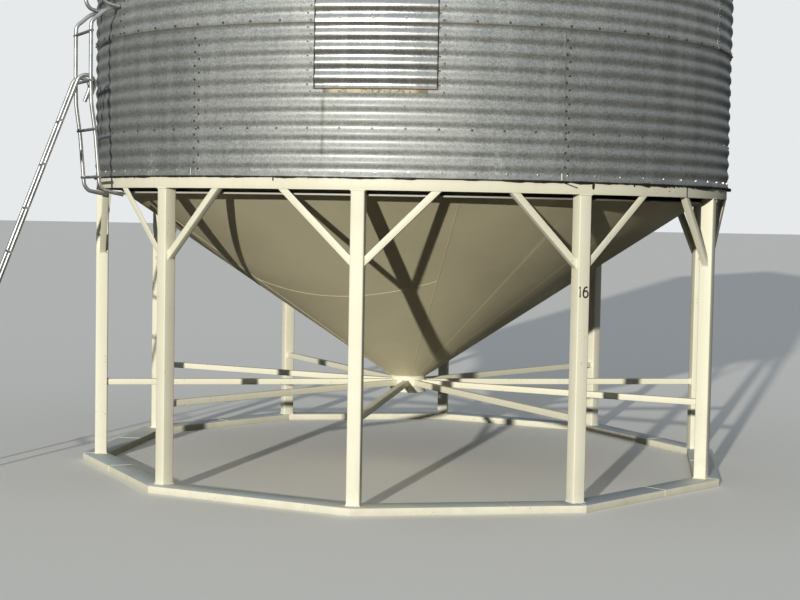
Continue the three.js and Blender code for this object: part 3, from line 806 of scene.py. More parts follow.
# Outlet collar: a short steel ring welded to the hopper's foot, which the tie struts hold in the middle.
# Its lower edge is thickened where a slide or a spout would be clamped.
COLLAR_FOOT = 0.592
COLLAR_SIDES = 96
COLLAR_WELD = (COLLAR_RADIUS, CONE_FOOT, 0.005)
COLLAR_LIP = (COLLAR_RADIUS, COLLAR_FOOT + 0.006, 0.006)
PLATE_ROUNDING = 0.002


def pipe_wall(radius, foot, top):
    """The section of a short pipe rolled from plate."""
    inside = radius - PLATE_SKIN
    return rounded([(radius, foot), (radius, top), (inside, top), (inside, foot)], PLATE_ROUNDING)


def hoop(radius, height, size):
    """The section of a round bead or a rolled edge."""
    return [(radius + size * cos(step * pi / 4), height + size * sin(step * pi / 4)) for step in range(8)]


collar = bmesh.new()
collar_wall = pipe_wall(COLLAR_RADIUS, COLLAR_FOOT, CONE_FOOT - TOUCH_GAP)
for section in (collar_wall, hoop(*COLLAR_WELD), hoop(*COLLAR_LIP)):
    add_turned(collar, section, sides_per_turn=COLLAR_SIDES)
shaded_smooth(collar)
piece("outlet_ring", collar, frame_paint, "frame_paint", "outlet_collar")


# Wall: five rings of corrugated galvanised sheet, six sheets to a ring, bolted together through washers.
# Each ring laps outside the one below, and each sheet's left edge laps over its neighbour's right edge.
# The zinc is streaked and dull, with dirt at the laps, a painted shadow line under each lap's edge, two
# scuffed places and a dark stain below the panel.
WALL_RADIUS = 2.743
WAVE_DEPTH = 0.013
WAVE_PITCH = 0.1016
WAVES_PER_TIER = 11
TIER_HEIGHT = WAVES_PER_TIER * WAVE_PITCH
TIERS = 5
FIRST_CREST = RING_TOP + 0.0084
SHEETS = 6
SHEET_STEP = 2 * pi / SHEETS
SHEET_SKIN = 0.0012
ROWS_PER_WAVE = 10
FIRST_SEAM = radians(-36.5)
SEAM_TURN = radians(-20.9)
SIDE_LAP = radians(2.3)
RING_LAP = 0.045
RING_DROP = 0.007
EAVE = RING_TOP + TIERS * TIER_HEIGHT
WAVE_EDGE = radians(60)
DENT_DEPTH = 0.0016
DENT_SCALE = 1.3
FRONT_TONES = {(0, 0): 0.46, (0, 1): 0.34, (0, 5): 0.30, (1, 0): 0.68, (1, 1): 0.62}
OTHER_TONE = 0.55
TONE_SPREAD = 0.5
ZINC_DARK = (0.34, 0.355, 0.345)
ZINC_LIGHT = (0.51, 0.525, 0.51)
ZINC_CHALK = (0.62, 0.63, 0.60)
CHALK_SHARE = 0.4
DARK_GRIME_AND_SHADOW = (0.10, 0.095, 0.08)
# Painted shadow line under each lap's edge.
LAP_SHADOW_LINE = TIER_HEIGHT - 0.012
LAP_SHADOW_HALF = 0.016
ZINC_GLAZE = 0.6
GLAZE_GLOSS = 0.25
CREST_SHADE = 0.08
CREST_WEAR = 0.08
CREST_GLAZE_LOSS = 0.7
STAIN_PLACE = -0.646
STAIN_HALF = 0.022
STAIN_TOP = (3.05, 3.0)
STAIN_FOOT = (2.45, 2.7)
STAIN_SHARE = 0.6
SCUFFS = (-2.01, 0.61)
SCUFF_HALF = 0.075
SCUFF_TOP = (2.66, 2.60)
SCUFF_SHARE = 0.8
FRONT_HALF = (0.0, -1.0)


def wave(height):
    return WALL_RADIUS + WAVE_DEPTH / 2 * cos(2 * pi * (height - FIRST_CREST) / WAVE_PITCH)


def galvanised(name, light, dark, spangle, gloss, grime_and_shadow_share, metal=0.92, ridges=1.0):
    """Zinc coating with its crystal spangle, streaks, chalky patches, dirt that gathers above each lap and a
    painted shadow line under each lap's edge.
    """
    zinc = Finish(name)
    crystals = zinc.node("ShaderNodeSeparateColor", {0: zinc.cells(110.0)})
    streaks = zinc.noise(1.0, 5.0, where=zinc.stretched(9, 9, 0.7))
    fine = zinc.noise(1.0, 3.0, where=zinc.stretched(60, 60, 3.0))
    from_edge, up, tone = zinc.attribute("sheet")
    body = crystals * spangle + (streaks * 0.65 + fine * 0.35) * (1 - spangle)
    colour = zinc.mix(body.between(0.3, 0.7), dark, light)
    crest = (((zinc.z - FIRST_CREST) * (2 * pi / WAVE_PITCH) + pi / 2).sine() * 0.5 + 0.5) * ridges
    colour = zinc.shade(colour, (0.7 + tone * 0.6) * (1 - crest * CREST_SHADE))
    lap_dirt = up.between(0.05, 0.0) * zinc.noise(7.0, 4.0).between(0.3, 0.65) * 0.5
    seam_dirt = from_edge.between(0.03, 0.0) * zinc.noise(5.0, 4.0).between(0.35, 0.7)
    # The dirt near sheet edges is joined by a painted shadow line just under each lap's edge, near the top of
    # the sheet below.
    grime_and_lap_shadow = lap_dirt.most(seam_dirt).most(up.near(LAP_SHADOW_LINE, LAP_SHADOW_HALF)) * grime_and_shadow_share
    colour = zinc.mix(grime_and_lap_shadow, colour, DARK_GRIME_AND_SHADOW)
    in_front = zinc.y.between(*FRONT_HALF)
    stain = zinc.across.near(STAIN_PLACE, STAIN_HALF) * in_front * zinc.z.between(*STAIN_TOP)
    stain = stain * zinc.z.between(*STAIN_FOOT) * zinc.noise(14.0).between(0.3, 0.6)
    colour = zinc.mix(stain * STAIN_SHARE, colour, DARK_GRIME_AND_SHADOW)
    scuffed = zinc.across.near(SCUFFS[0], SCUFF_HALF).most(zinc.across.near(SCUFFS[1], SCUFF_HALF))
    scuffed = scuffed * zinc.noise(38.0, 3.0).between(0.48, 0.62) * zinc.z.between(*SCUFF_TOP)
    colour = zinc.mix(scuffed * in_front * SCUFF_SHARE, colour, ZINC_CHALK)
    chalk_spots = zinc.noise(2.3, 6.0).between(0.68, 0.78)
    colour = zinc.mix(chalk_spots * CHALK_SHARE, colour, ZINC_CHALK)
    rough = gloss + (crystals - 0.5) * 0.08 + streaks.between(0.4, 0.8) * 0.08
    rough = rough + grime_and_lap_shadow * 0.2 + crest * CREST_WEAR
    relief = zinc.noise(3.0, 2.0) * 0.6 + zinc.noise(900.0, 1.0) * 0.003
    zinc.glaze((1 - crest * CREST_GLAZE_LOSS) * ZINC_GLAZE, GLAZE_GLOSS)
    return zinc.finish(colour, rough, metal + grime_and_lap_shadow * -0.4, zinc.bump(relief, 0.008, 0.5))


def add_sheet(mesh, bottom, top, start, end, lift, tone, flattened=0.0):
    """One corrugated sheet. Its lower and left edges stand out by a skin from its upper and right edges."""
    layer = mesh.verts.layers.float_vector.get("sheet") or mesh.verts.layers.float_vector.new("sheet")
    count = max(2, round((top - bottom) / WAVE_PITCH * ROWS_PER_WAVE))
    heights = [bottom + (top - bottom) * step / count for step in range(count + 1)]
    face = [(wave(max(height, bottom + flattened)), height) for height in heights]
    back = [(radius - SHEET_SKIN, height) for radius, height in reversed(face)]
    unturned = Matrix.Rotation(-(start + end) / 2, 3, "Z")
    for vertex in add_turned(mesh, face + back, start, end):
        ahead = unturned @ vertex.co
        share = asin(max(-1, min(1, ahead.x / ahead.xy.length))) / (end - start) + 0.5
        up = vertex.co.z - bottom
        dent = DENT_DEPTH * noise.noise(vertex.co * DENT_SCALE)
        stand_out = lift + SHEET_SKIN * (1.5 - share - up / (top - bottom)) + dent
        flat = vertex.co.xy
        flat *= 1 + stand_out / flat.length
        vertex.co.xy = flat
        vertex[layer] = (share * (end - start) * WALL_RADIUS, up, tone)


zinc_sheet = galvanised("weathered_zinc_sheet", ZINC_LIGHT, ZINC_DARK, 0.35, 0.55, 0.6, 0.78)
wall_nodes = [f"wall_segment_{index + 1:02}" for index in range(6)]
for tier in range(TIERS):
    ring = bmesh.new()
    bottom = RING_TOP + TOUCH_GAP if tier == 0 else RING_TOP + tier * TIER_HEIGHT - RING_DROP
    top = EAVE if tier == TIERS - 1 else RING_TOP + (tier + 1) * TIER_HEIGHT + RING_LAP - RING_DROP
    for index in range(SHEETS):
        left = FIRST_SEAM + tier * SEAM_TURN + index * SHEET_STEP
        chance = noise.noise((tier * 3.7 + 0.3, index * 5.1 + 0.7, 0.5))
        tone = FRONT_TONES.get((tier, index), OTHER_TONE + TONE_SPREAD * chance)
        add_sheet(ring, bottom, top, left, left + SHEET_STEP + SIDE_LAP, 0.0, tone)
    shaded_smooth(ring, WAVE_EDGE)
    piece(f"wall_ring_{tier + 1}", ring, zinc_sheet, "zinc_sheet", *wall_nodes)


# Bolts of the wall: staggered double columns at each seam, a row through each lap, one round the lowest ring,
# and a bright row at the sill. None show where the cover panel hides them.
# The corners of two sheets are bent out at the sill and show as bright slivers of worn zinc.
BOLT_HEAD = 0.0075
BOLT_WASHER = 0.0105
HEAD_HEIGHT = 0.0075
HEAD_TAPER = 0.94
WASHER_SINK = -0.004
WASHER_HEIGHT = 0.0022
WASHER_TAPER = 0.86
BOLT_SEAT = 0.001
BOLTS_ROUND = 72
BOLT_STEP = 2 * pi / BOLTS_ROUND
BOLT_COLUMNS = ((0.3, 0.0), (0.96, WAVE_PITCH / 2))
LAP_ROW_TURN = radians(-0.6)
STIFFENER_ROW = FIRST_CREST + 3.41 * WAVE_PITCH
STIFFENER_TURN = radians(-1.05)
SILL_ROW = FIRST_CREST + 0.4 * WAVE_PITCH
SILL_TURN = radians(-0.5)
SILL_HEAD = 0.008
SILL_WASHER = 0.012
PANEL_LEFT = radians(-14.9)
PANEL_RIGHT = radians(3.5)
PANEL_BOTTOM = 3.060
PANEL_TOP = PANEL_BOTTOM + 1.219
BENT_CORNERS = ((radians(23.3), 0.008, 2.434, 2.484), (radians(-36.8), 0.005, 2.432, 2.490))
BENT_OUT = 0.010
BENT_ROUNDING = 0.0005
LAMP_SIDE = radians(-8)
DULL_ZINC = ((0.07, 0.07, 0.065), (0.2, 0.2, 0.19))
BRIGHT_ZINC = ((0.55, 0.56, 0.54), (0.8, 0.8, 0.78))
WORN_GREY = (0.42, 0.43, 0.40)


def add_bolt(mesh, radius, height, head=BOLT_HEAD, washer=BOLT_WASHER):
    """A hexagon head on its washer, in front of the axis."""
    made = []
    for sides, wide, narrow, start, end in (
        (12, washer, washer * WASHER_TAPER, WASHER_SINK, WASHER_HEIGHT),
        (6, head, head * HEAD_TAPER, 0.0, HEAD_HEIGHT),
    ):
        ring = bmesh.ops.create_cone(
            mesh, segments=sides, radius1=wide, radius2=narrow, depth=end - start, cap_ends=True
        )["verts"]
        bmesh.ops.translate(mesh, vec=(0, 0, (start + end) / 2), verts=ring)
        made += ring
    place = Matrix.Translation((0, -radius, height)) @ Matrix.Rotation(pi / 2, 4, "X")
    bmesh.ops.transform(mesh, matrix=place, verts=made)
    return made


def repeated(mesh, verts, count, angle=0.0, rise=0.0):
    """Copies of the same part, each turned about the bin's axis and raised from the one before."""
    before = set(mesh.verts)
    parts = [*verts, *{e for v in verts for e in v.link_edges}, *{f for v in verts for f in v.link_faces}]
    turn = angle * (count - 1)
    bmesh.ops.spin(
        mesh, geom=parts, cent=(0, 0, 0), axis=(0, 0, 1), dvec=(0, 0, rise), angle=turn, steps=count - 1,
        use_duplicate=True,
    )
    return [*verts, *(v for v in mesh.verts if v not in before)]


def fastener(name, colours, gloss, metal):
    """Zinc that varies a little from bolt to bolt."""
    zinc = Finish(name)
    return zinc.finish(zinc.mix(zinc.noise(40.0), *colours), gloss, metal)


def add_row(mesh, height, turn, head=BOLT_HEAD, washer=BOLT_WASHER, seat=0.0):
    """A row of bolts all round the wall."""
    bolt = add_bolt(mesh, wave(height) + seat, height, head, washer)
    repeated(mesh, swung(mesh, bolt, turn), BOLTS_ROUND, angle=BOLT_STEP)


dull_zinc = fastener("dull_zinc_fastener", DULL_ZINC, 0.5, 0.7)
bright_zinc = fastener("bright_zinc_fastener", BRIGHT_ZINC, 0.3, 0.85)
seam_bolts = bmesh.new()
for tier in range(TIERS):
    lift = tier * TIER_HEIGHT
    for across, rise in BOLT_COLUMNS:
        height = FIRST_CREST + rise + lift + (WAVE_PITCH if tier == 0 and rise == 0 else 0)
        count = WAVES_PER_TIER - (1 if rise or tier == 0 else 0)
        bolt = add_bolt(seam_bolts, wave(height) + BOLT_SEAT, height)
        swung(seam_bolts, bolt, FIRST_SEAM + tier * SEAM_TURN + radians(across))
        column = repeated(seam_bolts, bolt, count, rise=WAVE_PITCH)
        repeated(seam_bolts, column, SHEETS, angle=SHEET_STEP)
    if tier:
        add_row(seam_bolts, FIRST_CREST + lift, LAP_ROW_TURN, seat=BOLT_SEAT)
add_row(seam_bolts, STIFFENER_ROW, STIFFENER_TURN)
hidden = [
    vertex
    for vertex in seam_bolts.verts
    if PANEL_LEFT < atan2(vertex.co.x, -vertex.co.y) < PANEL_RIGHT and PANEL_BOTTOM < vertex.co.z < PANEL_TOP
]
bmesh.ops.delete(seam_bolts, geom=hidden, context="VERTS")
piece("wall_bolts", seam_bolts, dull_zinc, "zinc_sheet")

worn_zinc = Finish("worn_zinc").finish(WORN_GREY, 0.55, 0.6)
for index, (bearing, width, low, high) in enumerate(BENT_CORNERS):
    corner = bmesh.new()
    add_box(corner, (-width / 2, -SHEET_SKIN / 2, low), (width / 2, SHEET_SKIN / 2, high), BENT_ROUNDING)
    swung(corner, corner.verts, LAMP_SIDE - bearing)
    bmesh.ops.translate(corner, vec=(0, -WALL_RADIUS - BENT_OUT, 0), verts=corner.verts)
    piece(f"bent_sheet_corner_{index + 1}", corner, worn_zinc, "zinc_sheet", bearing=bearing)

sill_bolts = bmesh.new()
add_row(sill_bolts, SILL_ROW, SILL_TURN, SILL_HEAD, SILL_WASHER)
piece("sill_bolts", sill_bolts, bright_zinc, "zinc_sheet")


# Cover panel: two newer, brighter corrugated sheets bolted over an opening in the front of the wall.
# Rust has run along the raw edge of the opening, and a stained strip of sealant shows below it.
# The bolts of the frame behind show on either side, each on a broad washer.
PANEL_LIFT = 0.0035
PANEL_FLAT = 0.018
PANEL_LAP = FIRST_CREST + TIER_HEIGHT - PANEL_FLAT
PANEL_LAP_TOP = PANEL_LAP + 0.04
PANEL_ZINC = ((0.49, 0.50, 0.48), (0.44, 0.45, 0.44))
PANEL_TONES = (0.55, 0.5)
EDGE_WIDTH = 0.007
EDGE_TURN = EDGE_WIDTH / WALL_RADIUS
EDGE_OUTER = WALL_RADIUS + WAVE_DEPTH / 2 + 0.004
EDGE_ROUNDING = 0.002
EDGE_ORANGE = (0.20, 0.095, 0.04)
RUST_DARK = (0.03, 0.022, 0.016)
SEALANT_LEFT = radians(-13.6)
SEALANT_RIGHT = radians(2.2)
SEALANT_DEPTH = 0.034
SEALANT_MIDDLE = -0.29
SEALANT_CLEAN = 0.27
SEALANT_DIRTY = 0.35
SEALANT_CREAM = (0.62, 0.56, 0.40)
SEALANT_STAIN = (0.16, 0.12, 0.08)
FRAME_COLUMNS = ((-16.15, WAVE_PITCH / 2), (-15.55, 0.0), (3.87, WAVE_PITCH / 2), (4.55, 0.0))
FRAME_CORNER = FIRST_CREST + 6 * WAVE_PITCH
FRAME_ROWS = 12
LOOSE_ROWS = (
    (FRAME_CORNER, (-10.5, -5.4, -2.5, -0.5)),
    (FRAME_CORNER - WAVE_PITCH, (-11.9, -1.3)),
    (PANEL_LAP + 0.03, (-11.1, -6.1, -1.2)),
)
FRAME_HEAD = 0.007
FRAME_WASHER = 0.0112

bright_sheet = galvanised("bright_zinc_sheet", *PANEL_ZINC, 0.2, 0.25, 0.3, 0.85)
panel = bmesh.new()
add_sheet(panel, PANEL_BOTTOM, PANEL_LAP_TOP, PANEL_LEFT, PANEL_RIGHT, PANEL_LIFT, PANEL_TONES[0])
upper_lift = PANEL_LIFT + SHEET_SKIN
add_sheet(panel, PANEL_LAP, PANEL_TOP, PANEL_LEFT, PANEL_RIGHT, upper_lift, PANEL_TONES[1], PANEL_FLAT)
shaded_smooth(panel, WAVE_EDGE)
piece("opening_cover", panel, bright_sheet, "bright_sheet", "cover_panel")

rusty = Finish("rusty_raw_edge")
rust_colour = rusty.mix(rusty.noise(18.0, 5.0).between(0.35, 0.65), RUST_DARK, RUST)
rust_colour = rusty.mix(rusty.noise(6.0, 3.0).between(0.5, 0.7) * 0.3, rust_colour, ZINC_DARK)
lowest = rusty.z.between(PANEL_BOTTOM + 0.02, PANEL_BOTTOM) * rusty.noise(9.0, 3.0).between(0.35, 0.55)
rust_colour = rusty.mix(lowest * 0.8, rust_colour, EDGE_ORANGE)
rust_edge = rusty.finish(rust_colour, 0.85, normal=rusty.bump(rusty.noise(150.0, 3.0), 0.001))
rim = bmesh.new()
rim_low, rim_high = PANEL_BOTTOM - EDGE_WIDTH, PANEL_TOP + EDGE_WIDTH
for start, end, bottom, top in (
    (PANEL_LEFT - EDGE_TURN, PANEL_LEFT, rim_low, rim_high),
    (PANEL_RIGHT, PANEL_RIGHT + EDGE_TURN, rim_low, rim_high),
    (PANEL_LEFT, PANEL_RIGHT, rim_low, PANEL_BOTTOM),
    (PANEL_LEFT, PANEL_RIGHT, PANEL_TOP, rim_high),
):
    corners = [(WALL_RADIUS, bottom), (EDGE_OUTER, bottom), (EDGE_OUTER, top), (WALL_RADIUS, top)]
    add_turned(rim, rounded(corners, EDGE_ROUNDING), start, end)
piece("cover_edge", rim, rust_edge, "bright_sheet")

sealant = Finish("stained_sealant")
drips = sealant.noise(1.0, 4.0, where=sealant.stretched(16, 16, 3)).between(0.50, 0.62)
blots = sealant.noise(26.0, 4.0).between(0.45, 0.65)
ends = abs(sealant.across - SEALANT_MIDDLE).between(SEALANT_CLEAN, SEALANT_DIRTY)
sealant_colour = sealant.mix((drips.most(blots) * 0.75).most(ends * 0.85), SEALANT_CREAM, SEALANT_STAIN)
sealant_paste = sealant.finish(sealant_colour, 0.7, normal=sealant.bump(sealant.noise(60.0, 3.0), 0.001))
smear = bmesh.new()
smear_low, smear_high = PANEL_BOTTOM - SEALANT_DEPTH, PANEL_BOTTOM - EDGE_WIDTH / 2
add_sheet(smear, smear_low, smear_high, SEALANT_LEFT, SEALANT_RIGHT, SHEET_SKIN, 0.5)
piece("cover_sealant", smear, sealant_paste, "bright_sheet")

places = []
for bearing, rise in FRAME_COLUMNS:
    places += [(bearing, FRAME_CORNER + rise + step * WAVE_PITCH) for step in range(FRAME_ROWS)]
for height, bearings in LOOSE_ROWS:
    places += [(bearing, height) for bearing in bearings]
frame_bolts = bmesh.new()
frame_washers = bmesh.new()
for bearing, height in places:
    over_panel = PANEL_LEFT < radians(bearing) < PANEL_RIGHT and height > PANEL_BOTTOM
    radius = wave(height) + (PANEL_LIFT + 2 * SHEET_SKIN if over_panel else BOLT_SEAT)
    swung(frame_washers, add_bolt(frame_washers, radius, height, 0.003, FRAME_WASHER), radians(bearing))
    swung(frame_bolts, add_bolt(frame_bolts, radius + 0.002, height, FRAME_HEAD, 0.0075), radians(bearing))
piece("cover_bolts", frame_bolts, dull_zinc, "bright_sheet")
piece("cover_washers", frame_washers, worn_zinc, "bright_sheet")


# Roof: galvanised cone of sheets joined at raised radial ribs, with a turned-down drip edge past the wall.
# The sheets are bolted through the ribs and round the eave.
ROOF_PITCH = radians(30)
ROOF_SKIN = 0.007
ROOF_EAVE = 2.820
ROOF_HOLE = 0.3003
ROOF_NODES = 3
RIB_COUNT = 18
RIB_STEP = 2 * pi / RIB_COUNT
RIB_HALF = 0.020
RIB_HEIGHT = 0.030
RIB_SINK = -0.004
RIB_ROUNDING = 0.009
RIB_OUTER = 2.790
RIB_INNER = 0.360
RIB_MIDDLE = (RIB_OUTER + RIB_INNER) / 2
RIB_HALF_LENGTH = (RIB_OUTER - RIB_INNER) / cos(ROOF_PITCH) / 2
RIB_BOLTS = 7
RIB_BOLT_START = RIB_INNER + 0.12
RIB_BOLT_STEP = 0.36
EAVE_BOLTS_PER_RIB = 4
DRIP_DEPTH = 0.022
DRIP_INNER = ROOF_EAVE - 0.004
EAVE_CLEAN = 0.02
CAD_SEAM = radians(-35.75)
WALL_OUTER = WALL_RADIUS + WAVE_DEPTH / 2


def roof_top(radius):
    return EAVE + TOUCH_GAP + (WALL_OUTER - radius) * tan(ROOF_PITCH) + ROOF_SKIN


def add_roof_bolt(mesh, radius, height):
    """A bolt square to the roof's slope, in front of the axis."""
    made = add_bolt(mesh, 0, 0)
    lay = Matrix.Translation((0, -radius, height)) @ Matrix.Rotation(ROOF_PITCH - pi / 2, 4, "X")
    bmesh.ops.transform(mesh, matrix=lay, verts=made)
    return made


roof_zinc = galvanised("roof_zinc_sheet", (0.52, 0.53, 0.52), (0.33, 0.34, 0.33), 0.4, 0.34, 0.3, ridges=0.0)
eave_top = roof_top(ROOF_EAVE)
hole_top = roof_top(ROOF_HOLE)
drip_section = [
    (ROOF_EAVE, eave_top - DRIP_DEPTH),
    (ROOF_EAVE, eave_top),
    (ROOF_HOLE, hole_top),
    (ROOF_HOLE, hole_top - ROOF_SKIN),
    (DRIP_INNER, eave_top - ROOF_SKIN),
    (DRIP_INNER, eave_top - DRIP_DEPTH),
]
rib_low = (-RIB_HALF, -RIB_HALF_LENGTH, RIB_SINK)
rib_high = (RIB_HALF, RIB_HALF_LENGTH, RIB_HEIGHT)
rib_lay = Matrix.Translation((0, -RIB_MIDDLE, roof_top(RIB_MIDDLE))) @ Matrix.Rotation(ROOF_PITCH, 4, "X")
for index in range(ROOF_NODES):
    gore = bmesh.new()
    layer = gore.verts.layers.float_vector.new("sheet")
    for part in range(RIB_COUNT // ROOF_NODES):
        left = CAD_SEAM + index * 2 * pi / ROOF_NODES + part * RIB_STEP
        tone = 0.5 + 0.25 * noise.noise((index * 2.3 + 0.4, part * 4.7 + 0.2, 9.5))
        for vertex in add_turned(gore, drip_section, left, left + RIB_STEP):
            vertex[layer] = (1, (ROOF_EAVE - vertex.co.xy.length) + EAVE_CLEAN, tone)
        rib = add_box(gore, rib_low, rib_high, RIB_ROUNDING, 3)
        bmesh.ops.transform(gore, matrix=Matrix.Rotation(left + RIB_STEP / 2, 4, "Z") @ rib_lay, verts=rib)
        for vertex in rib:
            vertex[layer] = (1, 1, tone)
    bmesh.ops.remove_doubles(gore, verts=gore.verts, dist=1e-5)
    shaded_smooth(gore)
    piece(f"roof_sheets_{index + 1:02}", gore, roof_zinc, "zinc_sheet", f"roof_gore_{index + 1:02}")

roof_bolts = bmesh.new()
for row in range(RIB_BOLTS):
    radius = RIB_BOLT_START + row * RIB_BOLT_STEP
    inwards = RIB_HEIGHT * sin(ROOF_PITCH)
    upwards = RIB_HEIGHT * cos(ROOF_PITCH)
    bolt = add_roof_bolt(roof_bolts, radius - inwards, roof_top(radius) + upwards)
    repeated(roof_bolts, swung(roof_bolts, bolt, CAD_SEAM + RIB_STEP / 2), RIB_COUNT, angle=RIB_STEP)
eave_step = RIB_STEP / EAVE_BOLTS_PER_RIB
eave_bolt = add_roof_bolt(roof_bolts, WALL_RADIUS, roof_top(WALL_RADIUS))
swung(roof_bolts, eave_bolt, CAD_SEAM + eave_step / 2)
eave_bolts = repeated(roof_bolts, eave_bolt, EAVE_BOLTS_PER_RIB, angle=eave_step)
repeated(roof_bolts, eave_bolts, RIB_COUNT, angle=RIB_STEP)
piece("roof_bolts", roof_bolts, dull_zinc, "zinc_sheet")


# Fill opening: a rolled collar on the roof's peak, capped by a spun steel lid with a rolled rim.
# A flashing closes the collar to the roof, and the lid's skirt hangs over the collar to keep rain out.
NECK_RADIUS = 0.300
NECK_FOOT = 9.400
NECK_TOP = 9.560
NECK_SIDES = 120
FLASHING_REACH = NECK_RADIUS + 0.05
FLASHING_ROUNDING = 0.001
LID_SEAT = NECK_TOP + TOUCH_GAP
LID_SECTION = [
    (0.312, -0.040), (0.312, 0.0), (0.310, 0.006), (0.292, 0.012), (0.050, 0.080), (0.035, 0.085),
    (0.0, 0.086), (0.0, 0.080), (0.292, 0.0), (0.306, 0.0), (0.306, -0.040),
]
LID_ROLL = (0.310, LID_SEAT - 0.036, 0.005)

neck = bmesh.new()
at_neck = roof_top(NECK_RADIUS)
at_reach = roof_top(FLASHING_REACH)
flashing = rounded(
    [
        (NECK_RADIUS, at_neck + 0.001),
        (FLASHING_REACH, at_reach + 0.001),
        (FLASHING_REACH, at_reach + 0.004),
        (NECK_RADIUS + 0.006, at_neck + 0.006),
        (NECK_RADIUS + 0.004, at_neck + 0.03),
        (NECK_RADIUS, at_neck + 0.03),
    ],
    FLASHING_ROUNDING,
)
for section in (pipe_wall(NECK_RADIUS, NECK_FOOT, NECK_TOP), flashing):
    add_turned(neck, section, sides_per_turn=NECK_SIDES)
shaded_smooth(neck)
piece("fill_neck", neck, roof_zinc, "zinc_sheet", "roof_collar")

lid = bmesh.new()
for section in ([(radius, LID_SEAT + up) for radius, up in LID_SECTION], hoop(*LID_ROLL)):
    add_turned(lid, section, sides_per_turn=NECK_SIDES)
bmesh.ops.remove_doubles(lid, verts=lid.verts, dist=1e-5)
shaded_smooth(lid)
piece("fill_cap", lid, roof_zinc, "zinc_sheet", "fill_lid")


# Wall ladder: four sections of bent galvanised tube, each curled in to the wall at both ends.
# The rungs run through the rails and stick out past them.
LADDER_BEARING = radians(-63)
RAIL_SPACING = 0.450
TUBE_RADIUS = 0.016
RUNG_RADIUS = 0.0125
STAND_OFF = 2.960
SIDE_STEP = 2 * TUBE_RADIUS + TOUCH_GAP
SECTION_COUNT = 4
SECTION_PITCH = 1.467
RUNG_OVERHANG = 0.022
RUNG_PLACES = [(2.893, 2.420), (2.928, 2.795), (2.960, 3.176), (2.960, 3.564)]
LOWEST_TAIL = (2.690, 2.283)
LOWER_TAIL = (2.744, 2.295)
LOWER_LEAD = (2.780, 2.300)
LOWER_BEND = ((2.793, 2.395), 0.095, -60, -4, 10)
LEAN = [(2.920, 2.760), (2.955, 3.000), (2.960, 3.200)]
UPRIGHT = (2.960, 3.570)
UPPER_BEND = ((2.880, 3.600), 0.080, 15, 60, 8)
UPPER_TAIL = [(2.850, 3.732), (2.742, 3.781)]
OVER_ROOF = [(2.955, 3.575), (2.930, 3.630), (2.880, 3.667), (2.600, 3.829)]
TUBE_BEND = 0.04
TUBE_BEND_STEPS = 5
TUBE_BEND_FIT = 2.05
TUBE_ZINC = ((0.60, 0.61, 0.61), (0.38, 0.39, 0.39))


def arc(centre, radius, start, end, pieces):
    """Points of a bend in the plane of radius and height, between two angles in degrees."""
    turns = [radians(start + (end - start) * step / pieces) for step in range(pieces + 1)]
    return [(centre[0] + radius * cos(turn), centre[1] + radius * sin(turn)) for turn in turns]


def eased(corners):
    """The line of a tube, with each corner turned into a smooth bend."""
    sides = zip(corners, corners[1:], corners[2:])
    bends = [point for three in sides for point in bend(*three, TUBE_BEND, TUBE_BEND_STEPS, TUBE_BEND_FIT)]
    return [corners[0], *bends, corners[-1]]


def add_rails(mesh, half_spacing, line):
    """The two rails of a ladder, along a line of (radius, height) points in front of the axis."""
    for across in (-half_spacing, half_spacing):
        add_pipe(mesh, [(across, -radius, height) for radius, height in line], TUBE_RADIUS)


def add_rung(mesh, reach, radius, height):
    add_pipe(mesh, [(-reach, -radius, height), (reach, -radius, height)], RUNG_RADIUS, 3)


tube = Finish("galvanised_tube")
tube_cloud = tube.noise(9.0, 4.0)
tube_colour = tube.mix(tube_cloud.between(0.3, 0.7), *TUBE_ZINC)
tube_colour = tube.mix(tube.noise(30.0, 4.0).between(0.7, 0.78) * 0.5, tube_colour, RUST)
zinc_tube = tube.finish(tube_colour, 0.3 + tube_cloud * 0.2, 0.85, tube.bump(tube.noise(260.0, 2.0), 0.0003))

for index in range(SECTION_COUNT):
    section = bmesh.new()
    lift = index * SECTION_PITCH
    tail = LOWER_TAIL if index else LOWEST_TAIL
    head = OVER_ROOF if index == SECTION_COUNT - 1 else [UPRIGHT, *arc(*UPPER_BEND), *UPPER_TAIL]
    line = eased([tail, LOWER_LEAD, *arc(*LOWER_BEND), *LEAN, *head])
    add_rails(section, RAIL_SPACING / 2, [(radius, height + lift) for radius, height in line])
    for radius, height in RUNG_PLACES:
        add_rung(section, RAIL_SPACING / 2 + TUBE_RADIUS + RUNG_OVERHANG, radius, height + lift)
    bmesh.ops.translate(section, vec=((index % 2) * SIDE_STEP, 0, 0), verts=section.verts)
    shaded_smooth(section)
    name = f"ladder_section_{index + 1:02}"
    piece(name, section, zinc_tube, "zinc_tube", f"wall_ladder_{index + 1:02}", bearing=LADDER_BEARING)


# Hooked-on ladder: hangs from a rung of the wall ladder and leans out to the ground.
# Its rails are one tube each, bent over at the top like a cane.
HOOK_TWIST = radians(-8.5)
HOOK_SLOPE = radians(69.4)
HOOK_SPACING = 0.330
HOOK_BEND = 0.070
HOOK_BEND_STEPS = 20
HOOK_RETURN = 0.100
HOOK_RUNG_STEP = 0.370
HOOK_FIRST_RUNG = 0.340
HOOK_RUNGS = 8
HOOK_OVERHANG = 0.050
HOOK_CENTRE = Vector((-0.002, RUNG_PLACES[2][1] - 0.0266))

